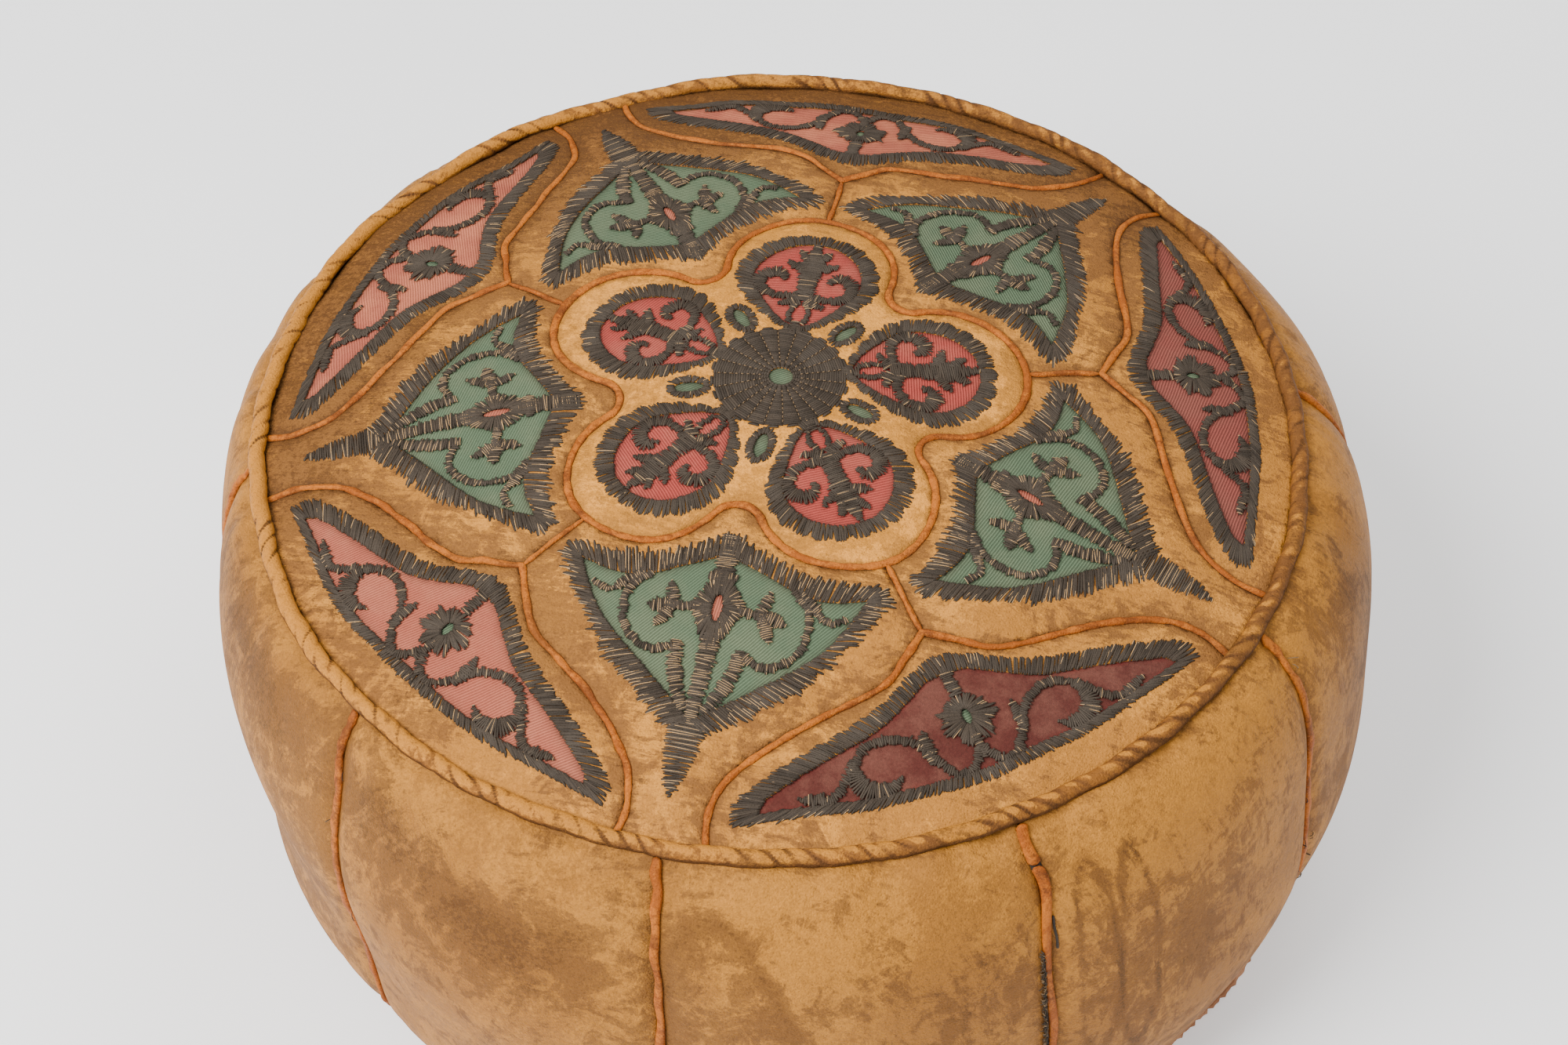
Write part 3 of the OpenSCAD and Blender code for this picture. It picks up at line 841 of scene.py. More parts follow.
def velvet(name, colour, pale):
    """Rubbed velvet: deep in the pile, pale and threadbare in patches of wear, and darker along the
    window's edge as painted shade where it runs under the leather.
    """
    f = Finish(name)
    pile = f.noise(900, 4, 0.7)
    paling = f.noise(46, 7, 0.7)
    soil_and_shade = f.value("soil_and_shade")
    base = f.blend(paling.between(0.4, 0.62) * 0.6, colour, pale)
    # Painted shade along the window's edge, where the velvet runs under the leather.
    base = f.blend(soil_and_shade.between(0.35, 1.0) * 0.75, base, (0.17, 0.012, 0.012))
    final = f.shade(base, pile * 0.9 + 0.55)
    return f.done(final, 0.95, pile, 0.0006, **{"Specular IOR Level": 0.05, "Sheen Weight": 0.06})


def thread_finish(name, dark, straw):
    """Waxed thread in a few dark shades, with some pale straw strands."""
    f = Finish(name)
    tone = f.value("tone")
    fuzz = f.noise(1500, 3, 0.6)
    warm = f.blend(tone, dark, tuple(c * 2.2 for c in dark))
    greyed = f.blend(f.noise(55, 4, 0.6).between(0.45, 0.65) * 0.5, warm, (0.064, 0.050, 0.037))
    mixed = f.blend((tone - 0.9) * 10, greyed, straw)
    final = f.shade(mixed, fuzz * 0.7 + 0.65)
    return f.done(final, 0.6, fuzz, 0.0004, **{"Specular IOR Level": 0.16})


def raw_edge(name, colour, pale):
    """Brown flesh-side suede with a ragged nap."""
    f = Finish(name)
    nap = f.noise(700, 5, 0.75)
    drift = f.noise(60, 5, 0.6)
    base = f.blend(drift.between(0.4, 0.65), colour, pale)
    return f.done(f.shade(base, nap * 1.1 + 0.45), 0.95, nap, 0.0005, **{"Specular IOR Level": 0.05})


def padding(name, colour, weave):
    """Unbleached cotton, as a weave or as loose wadding."""
    f = Finish(name)
    fibres = f.noise(300 if weave else 120, 6, 0.7)
    clumps = f.noise(30, 4, 0.6)
    base = f.blend(clumps.between(0.4, 0.6) * 0.5, colour, tuple(c * 0.7 for c in colour))
    return f.done(f.shade(base, fibres * 0.5 + 0.75), 0.93, fibres, 0.0008 if weave else 0.003)


# ---- operators -------------------------------------------------------------------------------


class PoufOperator:
    """What the pouf's operators share."""

    bl_options = {"REGISTER", "UNDO"}

    def begin(self, context):
        self.sizes = context.scene.pouf_sizes
        self.colours = context.scene.pouf_colours
        self.form = Form(self.sizes)


class POUF_OT_finishes(PoufOperator, bpy.types.Operator):
    """Mix the leathers, cloths and threads"""

    bl_idname = "pouf.finishes"
    bl_label = "Leathers and cloths"

    # light, middle and dark tones
    CORD = (0.42, 0.165, 0.021), (0.215, 0.080, 0.014), (0.098, 0.039, 0.013)
    PIPING = (0.38, 0.108, 0.013), (0.075, 0.024, 0.009)
    BASE = (0.22, 0.095, 0.03), (0.15, 0.065, 0.022), (0.06, 0.025, 0.012)
    THONG = (0.14, 0.055, 0.02), (0.09, 0.035, 0.015), (0.03, 0.012, 0.008)
    PALE_GREEN = (0.135, 0.155, 0.090)
    PALE_SALMON = (0.55, 0.185, 0.095)

    def execute(self, context):
        self.begin(context)
        c, made = self.colours, FINISHES
        made["tan"] = leather("tan_goatskin", c.tan_worn, c.tan, c.tan_dark)
        # The side gores use the top's leather made darker: painted shade on the wall, which faces away
        # from the light above.
        side = [tuple(v * 0.76 for v in tone) for tone in (c.tan_worn, c.tan, c.tan_dark)]
        made["side"] = leather("side_goatskin_shaded", *side, wear=0.8, flaky=0.5)
        made["cream"] = leather("cream_goatskin", (0.62, 0.255, 0.036), c.cream, c.tan_dark, 0.5)
        made["cord"] = leather("wound_goatskin", *self.CORD, 0.9)
        light, dark = self.PIPING
        made["piping"] = leather("orange_goatskin", light, c.piping, dark, 0.8)
        made["base"] = leather("brown_base_leather", *self.BASE)
        made["thong"] = leather("brown_thong", *self.THONG)
        made["suede"] = raw_edge("raw_suede", c.suede, (0.55, 0.29, 0.165))
        for i, turn in enumerate((38, 20, -30, 66, 8)):
            made[f"green_{i}"] = twill(f"green_twill_{i + 1}", c.green, self.PALE_GREEN, turn)
        for i, turn in enumerate((62, -12, 75, 30, -40)):
            made[f"red_{i}"] = twill(f"red_twill_{i + 1}", c.red, (0.37, 0.105, 0.072), turn)
        made["leaf"] = twill("leaf_twill", c.green, self.PALE_GREEN, 50)
        made["outer_0"] = velvet("rubbed_velvet", c.velvet, (0.155, 0.058, 0.040))
        made["outer_1"] = twill("faded_red_twill", c.faded_red, (0.20, 0.072, 0.052), 10, 800)
        made["outer_2"] = twill("salmon_twill_1", c.pink, self.PALE_SALMON, 70)
        made["outer_3"] = twill("salmon_twill_2", c.pink, self.PALE_SALMON, -20)
        made["outer_4"] = twill("rose_twill", c.pink, (0.42, 0.145, 0.085), 58)
        made["eye"] = twill("eye_twill", c.pink, (0.40, 0.14, 0.08), 5)
        made["thread"] = thread_finish("dark_thread", c.thread, c.straw)
        made["cotton"] = padding("cotton_lining", (0.45, 0.38, 0.27), True)
        made["wadding"] = padding("cotton_wadding", (0.50, 0.45, 0.38), False)
        return {"FINISHED"}


class POUF_OT_inside(PoufOperator, bpy.types.Operator):
    """Stuff the pouf and line it"""

    bl_idname = "pouf.inside"
    bl_label = "Stuffing and lining"

    COLUMNS = 120

    def rings(self, depth, clump=0.0, last=0.0):
        """Rings of points that follow the cover's inside, from the crown to the base."""
        form = self.form
        angle = np.linspace(0, 360, self.COLUMNS, endpoint=False)
        around = np.radians(angle)
        ripple = Ripple(12, (35, 22, 60))
        made = []
        for r in np.linspace(4, form.top_edge - 4, 22):
            flat = np.stack([r * np.cos(around), r * np.sin(around)], 1)
            made.append(form.on_top(flat, -depth - clump * (1 + ripple(flat[:, 0], flat[:, 1]))))
        for v in np.linspace(0.06, 0.96, 34):
            lumps = clump * (1 + ripple(around * form.belly, np.full_like(around, v * 300)))
            made.append(form.on_wall(angle, v, -depth - lumps))
        ring = np.stack([np.cos(around), np.sin(around)], 1)
        for r, z in ((form.foot - 22, 6 + last), (158, 5 + last), (108, 5 + last)):
            made.append(form.under(r * ring, z))
        return made

    def execute(self, context):
        self.begin(context)
        stuffing = self.rings(10, 1.2, 1.4)
        centre = stuffing[-1].mean(0)
        stuffing += [centre + (stuffing[-1] - centre) * s for s in (0.6, 0.2)]
        points, faces = tube(np.array(stuffing))
        pad = piece("cotton_waste", points, faces, FINISHES["wadding"], "stuffing")
        outer, inner = self.rings(7.0), self.rings(7.8, 0.0, 0.8)
        mouth = outer[-1].mean(0) + (outer[-1] - outer[-1].mean(0)) * 0.42
        points, faces = tube(np.array(outer + [mouth, mouth + (0, 0, 0.8)] + inner[::-1]))
        piece("lining_bag", points, faces, FINISHES["cotton"], "cotton_lining")
        return {"FINISHED"}


class POUF_OT_gores(PoufOperator, bpy.types.Operator):
    """Sew the ten side gores"""

    bl_idname = "pouf.gores"
    bl_label = "Side gores"

    ACROSS, DOWN = 64, 96

    def execute(self, context):
        self.begin(context)
        for i in range(GORES):
            self.gore(i)
        return {"FINISHED"}

    def gore(self, i):
        form, rng = self.form, np.random.default_rng(100 + i)
        start = SEAM_ANGLES[i]
        angle = start + np.linspace(0.1, 35.9, self.ACROSS)
        v = np.linspace(0, 1, self.DOWN) ** 1.15
        a, b = np.meshgrid(angle, v)
        creases = self.creases(rng, a - start, b)
        face = form.on_wall(a, b, creases)
        back = form.on_wall(a, b, creases - form.hide)
        n, m = a.shape
        index = np.arange(n * m).reshape(n, m)
        corners = [index[:-1, :-1], index[1:, :-1], index[1:, 1:], index[:-1, 1:]]
        quads = np.stack(corners, -1).reshape(-1, 4)
        rim = np.concatenate([index[0, :-1], index[:-1, -1], index[-1, :0:-1], index[:0:-1, 0]])
        ahead = np.roll(rim, -1)
        sides = np.stack([rim, ahead, ahead + n * m, rim + n * m], 1)
        faces = np.vstack([quads, quads[:, ::-1] + n * m, sides])
        part = (a - start) / GORE_TURN
        seam = np.minimum(part, 1 - part) * math.radians(GORE_TURN) * form.belly
        # Darker along the pinched seams and just below the rim cord as painted shade, and darker
        # towards the foot; the marks added next are stains.
        soil_and_shade = 0.25 * np.exp(-seam / 3) + 0.3 * np.exp(-b / 0.03) + 0.22 * b
        soil_and_shade = soil_and_shade + self.marks(i, part, b)
        paling = 0.35 * np.exp(-(((b - 0.2) / 0.12) ** 2)) * np.sin(np.pi * part)
        piece(
            f"gore_{i + 1:02d}",
            np.vstack([face.reshape(-1, 3), back.reshape(-1, 3)]),
            faces,
            # The side leather is the top's leather darkened as painted shade.
            FINISHES["side"],
            f"side_panel_{i + 1:02d}",
            {"soil_and_shade": np.tile(soil_and_shade.ravel(), 2), "paling": np.tile(paling.ravel(), 2)},
        )

    @staticmethod
    def creases(rng, a, b):
        """Slack folds that run down from the rim and up from the foot."""
        depth = np.zeros_like(a)
        for _ in range(9):
            centre, lean = rng.uniform(2, 34), rng.uniform(-9, 9)
            reach, sharp = rng.uniform(0.08, 0.3), rng.uniform(0.5, 1.3)
            fold = ((a - centre - lean * b) / sharp) ** 2 + (b / reach) ** 2
            depth -= rng.uniform(0.3, 1.0) * np.exp(-fold)
        up = 1 - b
        for _ in range(5):
            centre, lean = rng.uniform(2, 34), rng.uniform(-12, 12)
            fold = (a - centre - lean * up) ** 2 + (up / 0.25) ** 2
            depth -= rng.uniform(0.3, 0.9) * np.exp(-fold)
        return depth

    @staticmethod
    def marks(i, part, b):
        """Brown clouds and tide marks on some gores, as a share of full soiling."""
        marks = {
            # gore: (across, down, width, height, strength, is it a ring)
            0: [(0.165, 0.41, 0.165, 0.25, 0.8, True), (0.75, 0.34, 0.22, 0.12, 0.35, False)],
            1: [(0.13, 0.38, 0.06, 0.2, 0.9, True), (0.25, 0.40, 0.055, 0.2, 0.9, True),
                (0.45, 0.45, 0.12, 0.1, 0.3, False)],
            9: [(0.55, 0.30, 0.34, 0.10, 0.5, False), (0.2, 0.2, 0.25, 0.1, 0.4, False)],
            8: [(0.5, 0.2, 0.4, 0.12, 0.6, False)],
            2: [(0.4, 0.25, 0.25, 0.2, 0.45, False)],
            5: [(0.4, 0.5, 0.3, 0.2, 0.5, False)],
        }
        total = np.zeros_like(part)
        for x, y, w, h, strength, ring in marks.get(i, ()):
            far = np.sqrt(((part - x) / w) ** 2 + ((b - y) / h) ** 2)
            far = far + 0.09 * np.sin(9 * part + 5 * b + x * 30) + 0.06 * np.sin(21 * b + 7 * part)
            shape = 0.42 * np.exp(-(((far - 1) / 0.12) ** 2)) if ring else np.exp(-(far**2))
            if ring:
                shape = shape * np.clip(1.6 - b * 1.2, 0, 1) + 0.12 * (far < 1)
            total += strength * shape
        return total


class POUF_OT_side_piping(PoufOperator, bpy.types.Operator):
    """Set the piping in the side seams"""

    bl_idname = "pouf.side_piping"
    bl_label = "Side piping"

    TORN = 1

    def execute(self, context):
        self.begin(context)
        for i in range(GORES):
            rng = np.random.default_rng(200 + i)
            breaks = [0.018, 0.135, 1.0] if i == self.TORN else [0.018, 1.0]
            strips = [
                self.strip(i, rng, low + (0.006 if low > 0.1 else 0), high, wide)
                for low, high, wide in zip(breaks, breaks[1:], (5.2, 4.8) if i == self.TORN else (4.0,))
            ]
            points, faces = joined(strips)
            piece(
                f"gore_piping_{i + 1:02d}",
                points,
                faces,
                FINISHES["piping"],
                f"side_piping_{i + 1:02d}",
            )
        return {"FINISHED"}

    def strip(self, i, rng, low, high, wide):
        form = self.form
        count = int((high - low) * 150)
        v = np.linspace(low, high, count)
        wander = Ripple(220 + i, (0.9, 0.33, 0.16, 0.08))
        girth = 1 + 0.16 * Ripple(240 + i, (0.21, 0.09, 0.04))(v, 0 * v)
        girth *= np.clip(np.minimum(v - low, high - v) / 0.006, 0.55, 1)
        turn = np.linspace(0, 2 * math.pi, 12, endpoint=False)
        offset = 0.8 * wander(v, 0 * v)
        if i == self.TORN and low > 0.1:
            offset = offset + 1.4 * np.sin(24 * (v - low))
        rings = []
        for k in range(count):
            r = form.wall_profile(v[k : k + 1])[0][0]
            side = offset[k] + np.cos(turn) * wide / 2 * girth[k]
            height = 0.6 + np.sin(turn) * 1.9 * girth[k]
            rings.append(form.on_wall(SEAM_ANGLES[i] + np.degrees(side / r), np.full(12, v[k]), height))
        return tube(np.array(rings)[:, ::-1])


class POUF_OT_frays(PoufOperator, bpy.types.Operator):
    """Fray the split seam and leave some thread ends"""

    bl_idname = "pouf.frays"
    bl_label = "Frays and thread ends"

    DOWN = 300
    # Dark thread strips in the openings of the split seam and at the piping break: painted shade.
    SHADE_GAPS = (  # top, bottom, across, width
        (0.31, 0.66, -3.0, 1.5),
        (0.25, 0.31, 2.9, 1.1),
        (0.128, 0.147, 0.4, 5.0),
    )
    THREAD_ENDS = (  # seed, name, seam, tone, then across, down, heading and length of each
        (303, "thread_ends_right", 2, 0.93,
         ((2.4, 40, 0.9, 7), (2.8, 46, 1.4, 5), (-2.5, 118, 2.4, 4))),
        (304, "thread_ends_left", 9, 0.2,
         ((2.6, 60, 1.2, 5), (-2.4, 95, 2.2, 4), (2.6, 150, 0.7, 4))),
    )

    @staticmethod
    def tip(x, y, way, far):
        return x + far * math.cos(way), y + far * math.sin(way)

    def execute(self, context):
        self.begin(context)
        rng = np.random.default_rng(300)
        split = SEAM_ANGLES[POUF_OT_side_piping.TORN]
        gap, fuzz = Needle(301), Needle(302)
        # Wide strips of the darkest thread, laid as painted shade in the openings.
        for low, high, across, wide in self.SHADE_GAPS:
            for y in np.arange(low, high, 0.004):
                x = across + 0.3 * math.sin(90 * y)
                gap.stitch((x, y * self.DOWN), (x + 0.1, y * self.DOWN + 3), wide, 0.0, 0.2)
        for _ in range(420):
            x, y = -3.3 + rng.normal(0, 0.5), rng.uniform(0.31, 0.66) * self.DOWN
            way, far = rng.uniform(1.7, 4.6), rng.uniform(1.0, 3.2)
            tip = self.tip(x, y, way, far)
            width, tone = rng.uniform(0.3, 0.5), rng.choice([0.1, 0.5, 0.8, 0.93])
            fuzz.stitch((x, y), tip, width, tone, rng.uniform(1, 5))
        self.sewn(gap, "split_seam_gap", split, 0.5)
        self.sewn(fuzz, "split_seam_fray", split, 0.9)
        for seed, name, seam, tone, threads in self.THREAD_ENDS:
            ends = Needle(seed)
            for x, y, way, far in threads:
                ends.stitch((x, y), self.tip(x, y, way, far), 0.45, tone, 3)
            self.sewn(ends, name, SEAM_ANGLES[seam], 0.8)
        ends = Needle(305)
        for _ in range(26):
            x, y = rng.choice([-2.3, 2.3]) + rng.normal(0, 0.3), rng.uniform(0.4, 0.95) * self.DOWN
            way, far = rng.uniform(-1.4, 1.4) + (math.pi if x < 0 else 0), rng.uniform(1.5, 4.5)
            tip = self.tip(x, y, way, far)
            ends.stitch((x, y), tip, rng.uniform(0.35, 0.6), rng.choice([0.2, 0.8]), rng.uniform(2, 7))
        self.sewn(ends, "thread_ends_foot", SEAM_ANGLES[2], 0.8)
        return {"FINISHED"}

    def sewn(self, needle, name, seam, base):
        def wall(flat, height):
            v = flat[:, 1] / self.DOWN
            r = self.form.wall_profile(v)[0]
            return self.form.on_wall(seam + np.degrees(flat[:, 0] / r), v, height)

        points, faces, tones = needle.mesh(wall, np.asarray, base)
        piece(name, points, faces, FINISHES["thread"], values={"tone": tones})


class POUF_OT_rim_cord(PoufOperator, bpy.types.Operator):
    """Wind the rim cord with leather"""

    bl_idname = "pouf.rim_cord"
    bl_label = "Rim cord"

    TURNS, RINGS, SIDES = 152, 2432, 20

    def execute(self, context):
        self.begin(context)
        form = self.form
        a = np.linspace(0, 2 * math.pi, self.RINGS, endpoint=False)[:, None]
        t = np.linspace(0, 2 * math.pi, self.SIDES, endpoint=False)[None]
        path_r = form.rim + 0.7 * Ripple(31, (0.9, 0.5, 0.23, 0.13))(a, 0 * a)
        path_z = form.cord_z + 0.6 * Ripple(32, (1.1, 0.6, 0.3, 0.19))(a, 0 * a)
        uneven = 1.5 * Ripple(33, (0.4, 0.21, 0.11))(a, 0 * a)
        part = ((self.TURNS * a + 2.4 * t + uneven) / (2 * math.pi)) % 1
        left = 0.5 + 0.5 * np.cos(a - math.radians(205))
        depth = np.clip(0.12 + 0.08 * left + 0.3 * Ripple(35, (0.13, 0.07, 0.3))(a, 0 * a), 0.02, 0.8)
        crease = np.exp(-((np.minimum(part, 1 - part) / 0.085) ** 2)) * depth
        thick = form.cord * (0.98 + 0.05 * Ripple(34, (0.35, 0.2))(a, 0 * a))
        radius = thick - 0.2 + 0.2 * np.sin(np.pi * part) - crease
        r = path_r + radius * np.cos(t)
        points = np.stack([r * np.cos(a), r * np.sin(a), path_z + radius * np.sin(t)], -1)
        points, quads = wrapped(points)
        # lit is the cord's upper side, which faces the light.
        lit = np.clip(0.65 + 1.2 * np.sin(t - 0.1), 0, 1)
        fresh = np.exp(-(((part - 0.5) / 0.2) ** 2) - ((t - 1.75) / 0.55) ** 2)
        patch = np.clip(0.7 + 0.5 * Ripple(36, (0.5, 0.17, 0.06))(a, 0 * a), 0.1, 1.4)
        front = np.clip(np.cos(a - math.radians(290)), 0, 1) ** 2
        # Pale wear on the crests of the turns, mostly at the front, and a painted highlight on the
        # cord's upper side at the left, towards the lamp.
        wear_and_highlight = 0.6 * fresh * patch + 0.65 * left * lit + front * fresh
        # Painted shade in the creases between the turns and on the cord's underside, less of it on the
        # lit left, and some dirt, more of it at the front.
        soil_and_shade = 1.6 * crease + 1.0 * (1 - lit) + 0.35 - 0.2 * left + 0.12 * front
        piece(
            "wound_rim_cord",
            points,
            quads[:, [0, 3, 2, 1]],
            FINISHES["cord"],
            "rim_cord",
            {"soil_and_shade": soil_and_shade.ravel(), "paling": wear_and_highlight.ravel()},
        )
        return {"FINISHED"}


class TopOperator(PoufOperator):
    """What the pieces of the top share."""

    def lay(
        self, name, outline, holes, axis, finish, stands_for, slot, soil_and_shade, thickness, lift=0.0, step=3.0
    ):
        """Cuts a flat piece, turns it to its axis and lays it on the dome."""
        flat, faces = flat_mesh(outline, holes, step)
        points, sides, used = slab(
            flat, faces, lambda p, h: self.form.on_top(to_axis(p, axis), h), thickness, lift
        )
        # The stored darkening holds painted shade at seams and window edges as well as dirt.
        soiling_and_shade = soil_and_shade(used, to_axis(used, axis))
        values = {"soil_and_shade": np.tile(soiling_and_shade, 2), "paling": np.zeros(2 * len(used))}
        piece(name, points, sides, finish, stands_for, values)

    def leather_soil_and_shade(self, flat, placed):
        """Darkening along the seams, painted shade with some dirt, and dirt towards the rim, most of it
        at the back and left.
        """
        r = np.hypot(*placed.T)
        seam = self.form.seam_distance(placed[:, 0], placed[:, 1])
        back = np.clip((placed[:, 1] * 0.7 - placed[:, 0] * 0.45) / self.form.rim, -0.6, 1)
        outer = np.clip((r - 105) / 120, 0, 1)
        return 0.5 * np.exp(-seam / 1.6) + 0.22 * np.exp(-seam / 8) + outer * (0.38 + 0.45 * back)


class POUF_OT_top_leather(TopOperator, bpy.types.Operator):
    """Cut the rosette, the kites and the outer panels"""

    bl_idname = "pouf.top_leather"
    bl_label = "Top leather"

    def execute(self, context):
        self.begin(context)
        tuck, edge, hide, soil_and_shade = 0.6, self.form.top_edge, self.form.hide, self.leather_soil_and_shade
        holes = [to_axis(PETAL_CUT, a) for a in LOBE_AXES]
        holes += [to_axis(oval(LEAF_AT, *LEAF_WINDOW), a) for a in KITE_AXES]
        holes += [oval((0, 0), DISC_DOT, DISC_DOT)]
        outline = to_axis(rosette_outline(-tuck), KITE_AXES[0])
        self.lay("rosette_leather", outline, holes, 90, FINISHES["cream"], "rosette_panel",
                 "cream_leather", soil_and_shade, hide)
        for i in range(REPEATS):
            self.lay(f"kite_leather_{i + 1}", kite_outline(tuck, edge), [KITE_CUT], KITE_AXES[i],
                     FINISHES["tan"], f"kite_panel_{i + 1}", "tan_leather", soil_and_shade, hide)
            self.lay(f"outer_leather_{i + 1}", outer_outline(tuck, edge), [OUTER_CUT], LOBE_AXES[i],
                     FINISHES["tan"], f"outer_panel_{i + 1}", "tan_leather", soil_and_shade, hide)
        return {"FINISHED"}


class POUF_OT_top_piping(TopOperator, bpy.types.Operator):
    """Sew the orange piping into the top's seams"""

    bl_idname = "pouf.top_piping"
    bl_label = "Top piping"

    STEP, SIDES = 1.6, 10

    def edge_shade(self, points):
        """Painted shade low on the sides of the strips, where they meet the leather."""
        turn = np.linspace(0, 2 * math.pi, self.SIDES, endpoint=False)
        soil_and_shade = np.tile(np.clip(0.1 - np.sin(turn), 0, 1) * 2.5, len(points) // self.SIDES)
        return {"soil_and_shade": soil_and_shade, "paling": 0 * soil_and_shade}

    def strip(self, path, seed, wide):
        """A soft folded strip along a flat path."""
        path = evenly(np.asarray(path, float), self.STEP)
        proud = self.sizes.piping_proud / MM
        along = np.arange(len(path)) * self.STEP
        girth = 1 + 0.13 * Ripple(seed, (37, 16, 9))(along, 0 * along)
        shift = 0.35 * Ripple(seed + 1, (48, 21))(along, 0 * along)
        girth *= np.clip(np.minimum(along, along[-1] - along) / 2.0, 0.6, 1)
        heading = np.gradient(path, axis=0)
        heading /= np.linalg.norm(heading, axis=1)[:, None]
        side = np.stack([-heading[:, 1], heading[:, 0]], 1)
        turn = np.linspace(0, 2 * math.pi, self.SIDES, endpoint=False)
        # The lower sides are widened a little and darkened: painted shade along the strip's edges.
        skirt = 1 + 0.22 * (np.sin(turn) < -0.3)
        across = shift[:, None] + (np.cos(turn) * skirt)[None] * wide / 2 * girth[:, None]
        rise = np.sin(turn) * np.where(np.sin(turn) > 0, 1, 0.3)
        height = 0.2 + rise[None] * proud * girth[:, None]
        flat = path[:, None] + side[:, None] * across[..., None]
        points = self.form.on_top(flat.reshape(-1, 2), height.ravel()).reshape(*height.shape, 3)
        return tube(points)

    def sewn(self, name, points, faces, stands_for):
        edge_shade_values = self.edge_shade(points)
        piece(name, points, faces, FINISHES["piping"], stands_for, edge_shade_values)

    def execute(self, context):
        self.begin(context)
        wide = self.sizes.piping_width / MM
        ring = np.roll(to_axis(rosette_outline(), KITE_AXES[0]), -20, axis=0)
        lap = np.vstack([ring, ring[:3]])
        self.sewn("rosette_piping_strip", *self.strip(lap, 40, wide), "rosette_piping")
        spoke = [(0, LOBE_AT + LOBE_R + 1), (0, APEX_AT - 1)]
        spokes = [self.strip(to_axis(spoke, axis), 50 + i, 2.7) for i, axis in enumerate(LOBE_AXES)]
        self.sewn("spoke_piping_strips", *joined(spokes), "spoke_piping")
        for i, axis in enumerate(LOBE_AXES):
            line = to_axis(np.vstack([mirrored(OGEE[:0:-1]), OGEE]), axis)
            line = line[np.hypot(*line.T) < self.form.top_edge + 1.5]
            strip = self.strip(line, 60 + i, 3.3)
            self.sewn(f"outer_piping_strip_{i + 1}", *strip, f"outer_piping_{i + 1}")
        return {"FINISHED"}


class POUF_OT_cloths(TopOperator, bpy.types.Operator):
    """Back the windows with cloth"""

    bl_idname = "pouf.cloths"
    bl_label = "Inset cloths"

    SUNK, THICK = -0.75, 0.5

    @staticmethod
    def window_and_cloth(centre, size, tuck):
        """A small oval window, and the cloth that goes behind it."""
        return oval(centre, *size), oval(centre, size[0] + tuck, size[1] + tuck)

    def cloth(self, name, outline, holes, axis, finish, stands_for, slot, window, lift=None):
        def soil_and_shade(flat, placed):
            near = np.full(len(flat), 1e9)
            for point in evenly(closed(window), 2.0):
                near = np.minimum(near, np.hypot(*(flat - point).T))
            # Darker along the window's edge: painted shade where the cloth runs under the leather.
            return 0.8 * np.exp(-near / 3.0)

        lift = self.SUNK if lift is None else lift
        self.lay(name, outline, holes, axis, finish, stands_for, slot, soil_and_shade, self.THICK, lift, 3.5)

    def execute(self, context):
        self.begin(context)
        kite = np.vstack([KITE_SILL_EDGE, KITE_FLANK_EDGE[:-1], [(0, 180)]]) * (0.94, 1)
        outer = np.vstack([OUTER_SILL_EDGE, OUTER_HEAD_EDGE]) * (0.96, 1)
        kite, outer, petal = both_halves(kite), both_halves(outer), both_halves(PETAL_EDGE)
        eye, eye_cloth = self.window_and_cloth(EYE_AT, EYE, 1)
        dot, dot_cloth = self.window_and_cloth(FLOWER_AT, FLOWER_DOT, 1)
        leaf, leaf_cloth = self.window_and_cloth(LEAF_AT, LEAF_WINDOW, 2)
        middle, middle_cloth = self.window_and_cloth((0, 0), (DISC_DOT, DISC_DOT), 3)
        outer_slots = ["dark_red_velvet", "faded_red_twill", "pink_twill", "pink_twill", "pink_twill"]
        for i, (kite_axis, lobe_axis) in enumerate(zip(KITE_AXES, LOBE_AXES)):
            self.cloth(f"green_cloth_{i + 1}", kite, [eye], kite_axis,
                       FINISHES[f"green_{i}"], "kite_cloths", "green_twill", KITE_CUT)
            self.cloth(f"eye_cloth_{i + 1}", eye_cloth, [], kite_axis,
                       FINISHES["eye"], "kite_eye_cloths", "pink_twill", KITE_CUT, self.SUNK - 0.1)
            self.cloth(f"outer_window_cloth_{i + 1}", outer, [dot], lobe_axis,
                       FINISHES[f"outer_{i}"], f"outer_cloth_{i + 1}", outer_slots[i], OUTER_CUT)
            self.cloth(f"flower_dot_{i + 1}", dot_cloth, [], lobe_axis,
                       FINISHES["leaf"], "flower_cloths", "green_twill", OUTER_CUT, self.SUNK - 0.1)
            self.cloth(f"petal_cloth_{i + 1}", petal, [], lobe_axis,
                       FINISHES[f"red_{i}"], "petal_cloths", "red_twill", PETAL_CUT)
            self.cloth(f"leaf_cloth_{i + 1}", leaf_cloth, [], kite_axis,
                       FINISHES["leaf"], "leaf_cloths", "green_twill", leaf)
        self.cloth("middle_dot", middle_cloth, [], 90,
                   FINISHES["leaf"], "leaf_cloths", "green_twill", middle, -0.3)
        return {"FINISHED"}


